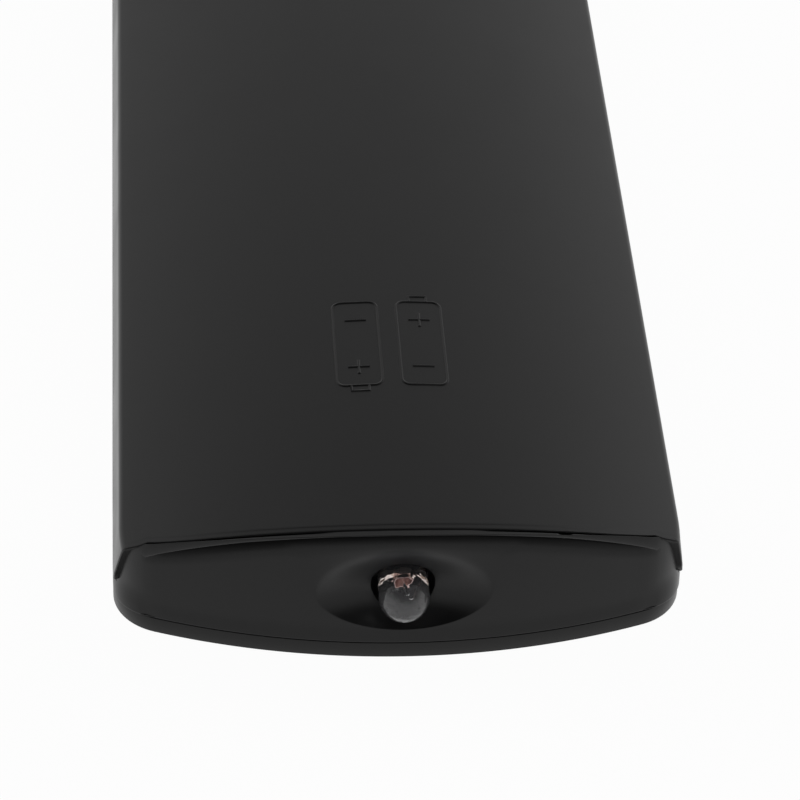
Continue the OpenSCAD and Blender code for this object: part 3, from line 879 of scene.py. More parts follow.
        middle_z, turn = height(fillet) - fillet, pi / 2
        for _ in range(self.touch_rounds):
            middle = fillet / cos(lean) + (middle_z - self.part_z) * slope
            touch = middle - fillet * cos(turn)
            across = station.x + station.nx * touch
            fall = -across * station.nx / sqrt((self.crown_r - inset) ** 2 - across ** 2)
            turn = atan2(1.0, fall)
            middle_z = height(touch) - fillet * sin(turn)
        foot = (self.foot_z - self.part_z) * slope
        points = [station.inside(foot + foot_r, self.foot_z),
                  station.inside(foot + foot_r * BEND, self.foot_z + foot_r * BEND)]
        for z in spaced(self.foot_z + foot_r, middle_z + fillet * sin(lean), self.flank_count)[:-1]:
            points.append(station.inside((z - self.part_z) * slope, z))
        for angle in spaced(lean, turn, self.edge_count):
            points.append(station.inside(middle - fillet * cos(angle), middle_z + fillet * sin(angle)))
        edge_x, edge_y, _ = points[-1]
        ridge_y = self.tail_y - self.corner_set
        for share in spaced(0.0, 1.0, self.crown_count)[1:]:
            x = edge_x * (1.0 - share)
            points.append((x, mix(edge_y, ridge_y, share), self.crown(x, inset)))
        return points

    def rib_order(self) -> list[tuple[int, float]]:
        """Give a whole section's points, from left to right: numbers in the half section, and sides."""
        count = len(self.half_rib(self.half_w, 0.0, self.foot_z))
        return [(i, -1.0) for i in range(count)] + [(i, 1.0) for i in range(count - 2, -1, -1)]


@dataclass(frozen=True)
class ScrewSize:
    """Sizes of the pan-head screws and of the holes for them."""

    head_r: float = 1.9
    head_t: float = 0.9
    shank_r: float = 1.0
    tip_r: float = 0.2
    tip_l: float = 0.6
    dome: float = 0.35
    cross_deep: float = 0.5
    cross_w: Pair = (0.16, 0.34)
    cross_reach: Pair = (0.8, 1.15)
    first_ring: float = 0.05
    rings: int = 14
    sides: int = 48
    tab_t: float = 1.2
    tab_hole_r: float = 1.2
    tab_hole_sides: int = 32
    bore_r: float = 1.05
    apart: float = 5.0


SCREW = ScrewSize()


@dataclass(frozen=True)
class BaySize:
    """Sizes that the battery bay, the contacts and the sliding door share."""

    contact_t: float = 0.4
    spring_l: float = 4.2
    rail_set: float = 7.0
    rail_stop: float = 4.0
    hook_t: float = 0.9
    hook_reach: float = 0.95
    air: float = 0.3

    def front_y(self) -> float:
        """Give the place of the bay's front wall, behind the springs and contacts."""
        return box_mm("battery_left")[0].y - self.spring_l - self.contact_t

    def hook_x(self, body: Body) -> float:
        """Give the place across of the inner ends of the door's hooks."""
        return body.half_w - body.wall - tan(body.lean) * (self.hook_t + self.air) - self.hook_reach

    def rail_ys(self, body: Body) -> Pair:
        """Give both ends of the rails that the hooks run under."""
        return self.front_y() + self.rail_set, body.tail_y - body.corner_set - self.rail_stop


BAY = BaySize()


@dataclass
class BackShell:
    """The crowned back, from the seam at the emitter end to the battery door."""

    body: Body
    front_round: float = 0.12
    rear_round: float = 0.3
    round_count: int = 4
    strip_w: float = 0.7
    strip_sink: float = 0.022
    strip_x: Pair = (24.0, 27.5)
    strip_steps: tuple[Pair, ...] = ((0.5, 1.0), (0.95, 1.0), (1.0, 0.85), (1.15, 0.15), (1.2, 0.0), (1.5, 0.0))
    row_step: float = 3.0
    near_shares: tuple[float, ...] = (0.02, 0.03, 0.045, 0.065)
    even_from: float = 0.08
    corner_gap: float = -0.25
    corner_x: Pair = (25.0, 27.6)
    corner_share: float = 0.15
    edge_back: float = 0.8
    wall_gap: float = 0.4
    wall_x: Pair = (25.0, 26.5)
    seam_rounds: int = 8
    tab_half: float = 2.5
    tab_corner: float = 0.8
    tab_edge: float = 0.15
    web_l: float = 1.8
    web_t: float = 1.2
    web_sunk: float = 0.3
    web_air: float = 0.6
    mark_y: float = 31.0
    mark_cell: Pair = (4.6, 14.0)
    mark_gap: float = 2.0
    mark_corner: float = 0.9
    mark_nub: float = 0.9
    mark_arm: float = 1.1
    mark_pole: float = 0.28
    mark_line_r: float = 0.2
    mark_line_sides: int = 10
    mark_proud: float = 0.1

    @property
    def rear_y(self) -> float:
        """Place of the rear edge."""
        return self.body.door_y - self.body.seam_gap / 2

    def half_width(self, y: float) -> float:
        """Give the shell's half width at y; its front corners are squarer than those of the plan outline."""
        return round(mix(self.body.half_w, self.body.half_width(y), self.corner_share), 4)

    def skin_point(self, index: int, sign: float, inset: float, share: float, sink: float, strip: float,
                   ahead: float) -> Point:
        """Give a point of a skin whose front edge follows the seam.

        Args:
            index, sign: Number of the point in its half section, and its side.
            inset: Distance of the skin inside the outer form.
            share: Way from the seam to the rear edge, from 0 to 1.
            sink: Distance below the skin.
            strip: Share of the front strip's sink, which runs out towards the flanks.
            ahead: Distance added along the body.

        Returns:
            The point.
        """
        body = self.body
        front = body.end_y + body.corner_set
        for _ in range(self.seam_rounds):
            x, z, _, _ = body.half_rib(self.half_width(front), inset, body.foot_at(front))[index]
            front = body.seam_y(x, z, body.seam_gap + self.corner_gap * blend(*self.corner_x, x))
            wall_y = body.end_arc([min(x, self.wall_x[0])], False)[0].y + self.wall_gap
            front = max(front, mix(wall_y, body.end_y, blend(*self.wall_x, x)))
        y = mix(front, self.rear_y, share) + ahead
        x, z, nx, nz = body.half_rib(self.half_width(y), inset, body.foot_at(y))[index]
        sink += strip * self.strip_sink * (1.0 - blend(*self.strip_x, x))
        return (sign * (x - nx * sink), y, z - nz * sink)

    def build(self) -> None:
        """Make the shell with its rounded edges, its wall, its screw tabs and its mark."""
        mesher, order = Mesher(), self.body.rib_order()
        steps = [(0.0, sink, 1.0, ahead) for ahead, sink in round_edge(self.front_round, self.round_count)]
        steps += [(0.0, 0.0, strip, self.strip_w * along) for along, strip in self.strip_steps]
        even = spaced(0.0, 1.0, int((self.rear_y - self.body.end_y) / self.row_step))
        shares = [*self.near_shares, *(s for s in even if self.even_from < s < 1)]
        steps += [(share, 0.0, 0.0, 0.0) for share in shares]
        rear = reversed(round_edge(self.rear_round, self.round_count))
        steps += [(1.0, sink, 0.0, -ahead) for ahead, sink in rear]
        inner_steps = [(share, 0.0, 0.0, 0.0 if share else self.edge_back) for share, *_ in steps]
        outer, inner = (
            [mesher.row(self.skin_point(i, side, inset, *step) for i, side in order) for step in skin]
            for inset, skin in ((0.0, steps), (self.body.wall, inner_steps)))
        mesher.loft(outer + inner[::-1], closed=True)
        for column in (0, -1):
            mesher.strip([row[column] for row in outer], [row[column] for row in inner])
        mesher.piece("back_shell_skin", "back_shell")
        self.screw_tabs()
        self.cell_mark()

    def screw_tabs(self) -> None:
        """Make the two tabs under the door that the shell screws hold down."""
        low, high = box_mm("shell_screws")
        x, y, top = high.x - SCREW.head_r, (low.y + high.y) / 2, high.z - SCREW.head_t
        half, web_y = self.tab_half, self.rear_y - self.web_l
        roof = self.body.crown(x - half, self.body.wall) - self.web_air
        for sign, side in ((-1, "left"), (1, "right")):
            middle = sign * x
            plan = soft_rect(middle, (web_y + y + half) / 2, 2 * half, y + half - web_y, self.tab_corner)
            hole = ring(middle, y, SCREW.tab_hole_r, SCREW.tab_hole_sides)
            plate(f"screw_tab_{side}", [plan, hole], top - SCREW.tab_t, top, self.tab_edge, Finish.CASING)
            web = Mesher()
            web.block((middle - half, web_y, top - self.web_sunk), (middle + half, web_y + self.web_t, roof))
            web.piece(f"screw_tab_web_{side}")

    def cell_mark(self) -> None:
        """Raise a plain sign of two cells, head to tail, out of the back."""
        mesher = Mesher()
        (width, length), nub, arm = self.mark_cell, self.mark_nub, self.mark_arm
        middle_y = self.body.end_y + self.mark_y
        for sign in (-1, 1):
            x = sign * (width + self.mark_gap) / 2
            self.stroke(mesher, soft_rect(x, middle_y, width, length, self.mark_corner), True)
            tip = middle_y + sign * length / 2
            end = tip + sign * nub
            self.stroke(mesher, [(x - nub, tip), (x - nub, end), (x + nub, end), (x + nub, tip)])
            plus, minus = (middle_y + way * sign * length * self.mark_pole for way in (1, -1))
            self.stroke(mesher, [(x - arm, plus), (x + arm, plus)])
            self.stroke(mesher, [(x, plus - arm), (x, plus + arm)])
            self.stroke(mesher, [(x - arm, minus), (x + arm, minus)])
        mesher.piece("back_cell_mark")

    def stroke(self, mesher: Mesher, plan: Sequence[Pair], closed: bool = False) -> None:
        """Add a raised line that follows the crown.

        Args:
            mesher, plan: Mesh of the mark, and points of the line in plan.
            closed: Whether the line returns to its start.
        """
        fine: list[Pair] = []
        for (x0, y0), (x1, y1) in zip(plan, [*plan[1:], plan[0]] if closed else plan[1:]):
            count = max(1, round(hypot(x1 - x0, y1 - y0)))
            fine += [(mix(x0, x1, i / count), mix(y0, y1, i / count)) for i in range(count)]
        fine.append(plan[0] if closed else plan[-1])
        sunk = self.mark_line_r - self.mark_proud
        path = [Vector((x, y, self.body.crown(x) - sunk)) for x, y in fine]
        mesher.tube(path, self.mark_line_r, self.mark_line_sides)


@dataclass
class FrontShell:
    """The tray behind the face: low flanks, and the high end with its sunken panel, dish and emitter hole."""

    body: Body
    panel_half: float = 24.5
    panel_crown_r: float = 54.8
    panel_depth: float = 1.2
    panel_roll: float = 1.8
    panel_power: int = 8
    past_slope: float = 0.14
    side_sink: float = 0.12
    side_edge: Pair = (-0.35, 0.15)
    side_rise: float = 2.0
    corner_sink: float = 0.25
    corner_turn: float = 0.86
    tuck: Point = (0.3, 0.4, 0.4)
    tuck_turns: tuple[Pair, Pair] = ((0.3, 0.5), (1.0, 0.6))
    slit: float = 0.07
    foot_curve: tuple[Pair, ...] = ((0.4, 0.0), (0.08, 0.0), (0.02, 0.02), (0.0, 0.08))
    wall_start: float = 0.14
    wall_stop: float = 0.02
    wall_rows: int = 26
    edge_drop: Pair = (0.35, 1.1)
    edge_drop_z: float = 10.0
    lip_set: float = 0.19
    lip_t: float = 0.1
    lip_r: float = 0.35
    lip_least: float = 0.04
    lip_share: float = 0.6
    lip_reveal: float = 3.0
    lip_count: int = 5
    crest_curve: tuple[Pair, ...] = ((0.0, 0.03), (0.01, 0.01), (0.03, 0.0))
    crest_w: float = 0.06
    crest_fall: float = 0.01
    back_fall: float = 0.3
    back_least: float = 0.05
    inner_fall: float = 2.0
    boss_t: float = 2.6
    boss_x: Pair = (9.0, 6.0)
    dish_half_w: float = 8.7
    dish_half_h: float = 4.45
    dish_rise: float = 5.35
    dish_depth: float = 2.3
    dish_z: float = 7.9
    dish_tilt: float = 0.4
    dish_soft: Pair = (0.03, 0.45)
    dish_soft_span: Pair = (-0.2, 0.9)
    rim_shares: tuple[float, ...] = (0.3, 0.55, 0.72, 0.84, 0.91, 0.95, 0.975, 0.99, 1.0)
    dish_shares: tuple[float, ...] = (0.012, 0.03, 0.06, 0.1, 0.16, 0.24, 0.34, 0.46, 0.6, 0.74, 0.88, 1.0)
    hole_r: float = 3.15
    hole_z: float = 7.7
    hole_l: float = 5.5
    hole_edge: float = 0.12
    hole_steps: tuple[Pair, ...] = ((0.04, 0.035), (0.0, 0.12), (0.0, 0.6))
    nick_x: float = 15.6
    nick_half: float = 0.8
    nick_depth: float = 0.45
    nick_count: int = 5
    window_half: float = 11.2
    window_rows: tuple[int, int] = (2, 23)
    window_count: int = 57
    outer_count: int = 17
    crease: float = 26.0

    def panel_top(self, x: float) -> float:
        """Give the height of the panel's arched upper edge."""
        return self.body.top_z - self.panel_crown_r + sqrt(self.panel_crown_r ** 2 - x ** 2)

    def fade(self, x: float) -> float:
        """Give the share of the panel's depth at x, which runs out towards the corners."""
        return max(0.0, 1.0 - (x / self.body.arc_half()) ** self.panel_power)

    def past(self, x: float) -> float:
        """Give how far the wall is drawn in beyond the panel's crease."""
        return max(0.0, abs(x) - self.panel_half) * self.past_slope

    def dish_up(self, z: float) -> float:
        """Give the height above the dish's middle as a share of its reach there."""
        return (z - self.dish_z) / (self.dish_rise if z > self.dish_z else self.dish_half_h)

    def dish(self, x: float, z: float) -> float:
        """Give the dish's depth: a sharp lip below and a soft one above.

        Args:
            x, z: Place on the end.

        Returns:
            The depth there.
        """
        up = self.dish_up(z)
        soft = mix(*self.dish_soft, blend(*self.dish_soft_span, up))
        raw = self.dish_depth * (1.0 - (x / self.dish_half_w) ** 2 - up ** 2) * (1.0 - self.dish_tilt * up)
        return (raw + sqrt(raw * raw + soft * soft)) / 2

    def end_depth(self, x: float, z: float) -> float:
        """Give how far the end face lies behind the outline.

        Args:
            x, z: Place on the end.

        Returns:
            The depth there.
        """
        share = self.fade(x)
        roll = self.panel_roll * sqrt(share) + 1e-6
        below = max(0.0, self.panel_top(x) - z)
        sunk = self.panel_depth * share * max(0.0, 1.0 - below / roll) ** 2
        near, far = (self.panel_half + d for d in self.side_edge)
        sides = self.side_sink * (1.0 - blend(near, far, abs(x)))
        low = self.body.plate_t
        return sunk + self.past(x) + sides * blend(low, low + self.side_rise, z) + self.dish(x, z)

    def end_point(self, x: float, z: float) -> Point:
        """Give the point of the end face at x and z."""
        return (x, self.body.end_arc([x], False)[0].y + self.end_depth(x, z), z)

    def corner_share(self, station: Station) -> float:
        """Give the place on a corner's arc, from 0 at the side to 1 at the end."""
        return atan2(abs(station.ny), abs(station.nx)) / self.body.corner_angle

    def nick(self, x: float) -> float:
        """Give the depth of the small nick in the ledge."""
        return self.nick_depth * max(0.0, 1.0 - abs(x - self.nick_x) / self.nick_half)

    def ridge_over(self, x: float, y: float, turn: float) -> Pair:
        """Give the top of the wall in the front half, where the seam cuts the crown.

        Args:
            x, y: Place of the wall.
            turn: Place on a corner's arc.

        Returns:
            Height of the top and place of the seam along.
        """
        body = self.body
        ridge = body.crown(x)
        seam = body.seam_y(x, ridge)
        if seam > y:
            return ridge, seam
        rear, front, more = self.tuck
        rise, fall = self.tuck_turns
        tuck = mix(rear, front + more * blend(*fall, turn), blend(*rise, turn))
        return max(body.split_z(y), ridge - max(0.0, y - seam - tuck) / tan(body.seam_lean)), y

    def section(self, station: Station, at_end: bool) -> list[Point]:
        """Give the closed cross-section of the shell's wall at a station.

        Args:
            station: Place on the plan outline.
            at_end: Whether the station lies on the emitter end's large arc.

        Returns:
            Points from the inner foot over the outside and the top back to the inner foot.
        """
        body, front = self.body, station.y < 0.0
        turn = self.corner_share(station)
        at_corner = front and not at_end
        sink = self.corner_sink * sin(self.corner_turn * pi * turn) if at_corner else 0.0
        x, y, low = station.inside(sink, body.plate_t)
        split = body.split_z(y)
        ridge, seam = self.ridge_over(x, y, turn) if front else (split, y)
        share, past, nick = (self.fade(x), self.past(x), self.nick(x)) if at_end else (0.0, 0.0, 0.0)
        edge = ridge - mix(*self.edge_drop, blend(body.part_z, self.edge_drop_z, ridge))
        if at_end:
            edge = min(self.panel_top(x), ridge - self.lip_t)
        slit = low + self.slit
        points = [station.inside(depth, slit + rise) for depth, rise in self.foot_curve]
        for z in spaced(slit + self.wall_start, edge - self.wall_stop, self.wall_rows):
            drawn = sink * blend(low, body.part_z, z)
            points.append(self.end_point(x, z) if at_end else station.inside(drawn, z))
        edge_y = y + past + self.lip_set * share
        under = max(self.lip_least, min(self.lip_r, self.lip_share * (ridge - edge)))
        reveal = min(1.0, share * self.lip_reveal)
        for along, rise in reversed(round_edge(under, self.lip_count)):
            points.append((x, edge_y + along * reveal, edge + rise))
        points += [(x, edge_y + back, ridge - down) for back, down in self.crest_curve]
        crest_y = max(edge_y + self.crest_w, seam)
        points.append((x, crest_y, ridge - self.crest_fall - nick))
        deep, below = 0.0, ridge - self.back_fall
        if front and ridge > split + self.crest_fall:
            deep = self.inner_fall
            points.append((x, max(body.seam_y(x, below), crest_y + self.back_least), below - nick))
        else:
            points.append(Station(x, crest_y, station.nx, station.ny).inside(self.back_fall, ridge))
        thick = body.side_t + (self.boss_t * blend(*self.boss_x, abs(x)) if at_end else 0.0)
        return points + [station.inside(thick, z) for z in (ridge - deep, body.floor_z, low)]

    def build(self) -> None:
        """Make the shell's wall all round, with the panel, the dish and the emitter's hole."""
        window = spaced(self.window_half, -self.window_half, self.window_count)
        outer = spaced(self.body.arc_half(), self.window_half, self.outer_count)[:-1]
        nicked = [self.nick_x + self.nick_half * s for s in spaced(-1.0, 1.0, self.nick_count)]
        right_xs = sorted(outer + nicked, reverse=True)
        front_xs = right_xs + window + [-x for x in reversed(outer)]
        first = self.body.corner_count - 1
        last = first + len(front_xs)
        mesher = Mesher()
        rows = [mesher.row(self.section(station, first <= i < last))
                for i, station in enumerate(self.body.outline(front_xs))]
        left = first + len(right_xs)
        right = left + len(window) - 1
        low, high = (len(self.foot_curve) + r for r in self.window_rows)
        count = len(rows[0])
        for i, row in enumerate(rows):
            after = rows[(i + 1) % len(rows)]
            for k in range(count):
                if left <= i < right and low <= k < high:
                    continue
                n = (k + 1) % count
                mesher.face(row[k], row[n], after[n], after[k])
        rim = ([rows[i][low] for i in range(left, right)] + [rows[right][k] for k in range(low, high)]
               + [rows[i][high] for i in range(right, left, -1)] + [rows[left][k] for k in range(high, low, -1)])
        self.add_dish(mesher, rim)
        mesher.piece("front_shell_wall", "front_shell", crease=self.crease)

    def add_dish(self, mesher: Mesher, rim: Sequence[int]) -> None:
        """Fill the window in the end face with rings that follow the dish and the emitter's hole.

        Args:
            mesher: Mesh of the shell.
            rim: Points round the window.
        """
        outside = [(mesher.points[i][0], mesher.points[i][2]) for i in rim]
        lip, ways = [], []
        for x, z in outside:
            size = hypot(x / self.dish_half_w, self.dish_up(z))
            lip.append((x / size, self.dish_z + (z - self.dish_z) / size))
            angle = atan2(z - self.hole_z, x)
            ways.append((cos(angle), sin(angle)))
        edge = self.hole_r + self.hole_edge
        hole = [(edge * c, self.hole_z + edge * s) for c, s in ways]
        rings = [list(rim)]
        for start, stop, shares in ((outside, lip, self.rim_shares), (lip, hole, self.dish_shares)):
            for share in shares:
                pairs = [(mix(a, c, share), mix(b, d, share)) for (a, b), (c, d) in zip(start, stop)]
                rings.append(mesher.row(self.end_point(x, z) for x, z in pairs))
        for wider, deep in self.hole_steps:
            size = self.hole_r + wider
            rings.append(mesher.row((size * c, self.end_point(x, z)[1] + deep, self.hole_z + size * s)
                                    for (x, z), (c, s) in zip(hole, ways)))
        bottom = self.body.end_y + self.hole_l
        rings.append(mesher.row((self.hole_r * c, bottom, self.hole_z + self.hole_r * s) for c, s in ways))
        mesher.loft(rings, ring=True)
        mesher.face(*rings[-1])


@dataclass(frozen=True)
class KeyPlan:
    """Place and plan of one key's cap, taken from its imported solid."""

    node: str
    x: float
    y: float
    width: float
    length: float
    low_z: float
    high_z: float
    flange_over: float = 0.8
    corner_r: float = 1.4
    corner_least: float = 0.3
    corner_steps: int = 11
    end_flat: float = 0.05
    round_within: float = 0.01

    @classmethod
    def from_frame(cls, node: str) -> "KeyPlan":
        """Measure a packed key, less the flange round its cap.

        Args:
            node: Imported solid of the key.

        Returns:
            The plan.
        """
        low, high = box_mm(node)
        width, length = (side - 2 * cls.flange_over for side in (high.x - low.x, high.y - low.y))
        return cls(node, (low.x + high.x) / 2, (low.y + high.y) / 2, width, length, low.z, high.z)

    @classmethod
    def every(cls) -> list["KeyPlan"]:
        """Measure all packed keys."""
        return [cls.from_frame(name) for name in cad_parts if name.endswith("_key")]

    def loop(self, grow: float) -> list[Pair]:
        """Give the plan of the cap: a circle, or a rectangle with round corners.

        Args:
            grow: Margin added all round.

        Returns:
            The points of the loop.
        """
        if abs(self.width - self.length) < self.round_within:
            return ring(self.x, self.y, self.width / 2 + grow)
        corner = max(self.corner_least, min(self.corner_r, self.length / 2 - self.end_flat) + grow)
        width, length = self.width + 2 * grow, self.length + 2 * grow
        return soft_rect(self.x, self.y, width, length, corner, self.corner_steps)


@dataclass(frozen=True)
class KeyField:
    """The sunken field that holds the keys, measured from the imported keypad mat."""

    y: float
    width: float
    length: float
    corner_r: float = 3.0
    clear: float = 0.25
    window_r: float = 1.3

    @classmethod
    def from_frame(cls, margin: float = 0.6) -> "KeyField":
        """Measure the keypad mat and add its margin to the field's edge."""
        low, high = box_mm("keypad_mat")
        return cls((low.y + high.y) / 2, high.x - low.x + 2 * margin, high.y - low.y + 2 * margin)

    def loop(self, grow: float) -> list[Pair]:
        """Give the plan of the field, grown by a margin."""
        return soft_rect(0.0, self.y, self.width + 2 * grow, self.length + 2 * grow, self.corner_r + grow)

    def holes(self) -> list[list[Pair]]:
        """Give the plans of the holes for the keys and the indicator window."""
        low, high = box_mm("indicator_window")
        return [*(k.loop(self.clear) for k in KeyPlan.every()), ring(0.0, (low.y + high.y) / 2, self.window_r)]


@dataclass
class FacePlate:
    """The thin plate round the keys, with its rim, its sunken field and the indicator window."""

    body: Body
    field: KeyField
    corner_r: float = 6.2
    corner_count: int = 16
    front_count: int = 61
    edge: float = 0.06
    field_z: float = 1.5
    field_t: float = 0.8
    field_gap: float = 0.1
    field_edge: float = 0.12
    stem_r: float = 1.2
    head_t: float = 0.5
    dome_h: float = 0.25
    dome_count: int = 8

    def build(self) -> None:
        """Make the rim, the field with its holes and the window."""
        body = replace(self.body, corner_r=self.corner_r, corner_count=self.corner_count)
        reach = body.arc_half()
        outline = [(s.x, s.y) for s in body.outline(spaced(reach, -reach, self.front_count))]
        plate("face_plate_rim", [outline, self.field.loop(-self.field_t)], 0.0, body.plate_t, self.edge,
              Finish.FACE, "face_plate")
        plate("face_plate_field", [self.field.loop(-self.field_gap), *self.field.holes()], self.field_z,
              self.field_z + self.field_t, self.field_edge, Finish.FACE)
        self.window()

    def window(self) -> None:
        """Make the red window with its softly domed front."""
        low, high = box_mm("indicator_window")
        head_r, head_z, y = (high.x - low.x) / 2, high.z - self.head_t, (low.y + high.y) / 2
        profile = [(self.stem_r * sin(a), low.z + self.dome_h * (1 - cos(a)))
                   for a in spaced(0.0, pi / 2, self.dome_count)]
        profile += [(self.stem_r, head_z), (head_r, head_z), (head_r, high.z), (0.0, high.z)]
        mesher = Mesher()
        mesher.lathe(profile, lambda z, a, b: (a, y + b, z))
        mesher.piece("indicator_window_red", "indicator_window", finishes=[Finish.LAMP_WINDOW])


@dataclass
class TrayInside:
    """What stands in the front shell: floors, battery bay walls, screw bosses and door rails."""

    body: Body
    field: KeyField
    soft_edge: float = 0.12
    soft_count: int = 2
    floor_edge: float = 0.1
    floor_gap: float = 0.05
    floor_count: int = 31
    floor_corner_count: int = 8
    guide_over: float = 0.9
    guide_z: Pair = (2.35, 3.3)
    root: float = 0.2
    bay_t: float = 1.2
    bay_over: float = 0.05
    cell_clear: float = 0.25
    hold: float = 1.5
    ridge_half: Pair = (0.3, 0.6)
    ridge_h: float = 1.8
    ridge_shares: Point = (0.2, 0.5, 0.8)
    boss_r: float = 2.2
    boss_web_half: float = 0.5
    boss_web_drop: float = 0.4
    rail_t: float = 0.8
    rail_over: float = 0.1

    @property
    def foot_z(self) -> float:
        """Height where the walls start, inside the floor."""
        return self.body.floor_z - self.root

    def build(self) -> None:
        """Make all of them."""
        self.floors()
        self.bay()
        self.bosses()
        self.rails()

    def keep(self, mesher: Mesher, name: str) -> None:
        """Make a black piece of the casing, its edges softened.

        Args:
            mesher, name: Mesh and name of the piece.
        """
        soften = mesher.piece(name).modifiers.new("soften", "BEVEL")
        soften.width = self.soft_edge * MM
        soften.segments = self.soft_count
        soften.limit_method = "ANGLE"

    def floors(self) -> None:
        """Make the tray's floor and the thicker floor that guides the keys."""
        body = replace(self.body, corner_count=self.floor_corner_count, tail_count=self.floor_count)
        inset, edge = body.side_t - self.floor_edge, self.floor_edge
        reach = body.arc_half(inset)
        outline = [(s.x, s.y) for s in body.outline(spaced(reach, -reach, self.floor_count), inset)]
        plate("tray_floor", [outline, self.field.loop(edge)], body.plate_t + self.floor_gap, body.floor_z, edge,
              Finish.CASING)
        plate("key_guide_floor", [self.field.loop(self.guide_over), *self.field.holes()], *self.guide_z, edge,
              Finish.CASING)

    def bay(self) -> None:
        """Make the four walls of the battery bay, low enough to let a thumb in, and the ridge between the cells."""
        low, high = box_mm("battery_left")
        front, rear = BAY.front_y(), box_mm("bridge_contact")[1].y
        half = box_mm("battery_right")[1].x + self.cell_clear
        side_top, end_top = (low.z + high.z) / 2 + self.hold, high.z - self.hold
        foot, thick = self.foot_z, self.bay_t
        walls = Mesher()
        walls.twins((half, front - thick, foot), (half + thick, rear + thick, side_top))
        reach = half + self.bay_over
        for y in (front - thick, rear):
            walls.block((-reach, y, foot), (reach, y + thick, end_top))
        self.keep(walls, "battery_bay_walls")
        ridge = Mesher()
        across, along = self.ridge_half
        for share in self.ridge_shares:
            y = mix(front, rear, share)
            ridge.block((-across, y - along, foot), (across, y + along, foot + self.ridge_h))
        self.keep(ridge, "battery_bay_ridge")

    def bosses(self) -> None:
        """Make the bosses under the shell screws, with webs to the walls."""
        low, high = box_mm("shell_screws")
        x, y, top = high.x - SCREW.head_r, (low.y + high.y) / 2, high.z - SCREW.head_t - SCREW.tab_t
        body, foot, bore = self.body, self.foot_z, SCREW.bore_r
        profile = [(bore, foot), (self.boss_r, foot), (self.boss_r, top), (bore, top), (bore, foot)]
        mesher = Mesher()
        for middle in (-x, x):
            mesher.lathe(profile, lambda z, a, b: (middle + a, y + b, z))
        mesher.twins((x + self.boss_r - self.root, y - self.boss_web_half, foot),
                     (body.half_w - body.side_t + self.root, y + self.boss_web_half,
                      body.part_z - self.boss_web_drop))
        self.keep(mesher, "shell_screw_bosses")

    def rails(self) -> None:
        """Make the rails that the door's hooks run under."""
        hook_x = BAY.hook_x(self.body)
        under = self.body.part_z + 2 * BAY.air + BAY.hook_t
        outer = hook_x - BAY.air
        inner = outer - self.rail_t
        near, far = BAY.rail_ys(self.body)
        mesher = Mesher()
        mesher.twins((inner, near, self.foot_z), (outer, far, under + self.rail_over))
        mesher.twins((inner, near, under), (hook_x + BAY.hook_reach / 2, far, under + self.rail_t))
        self.keep(mesher, "door_rails")


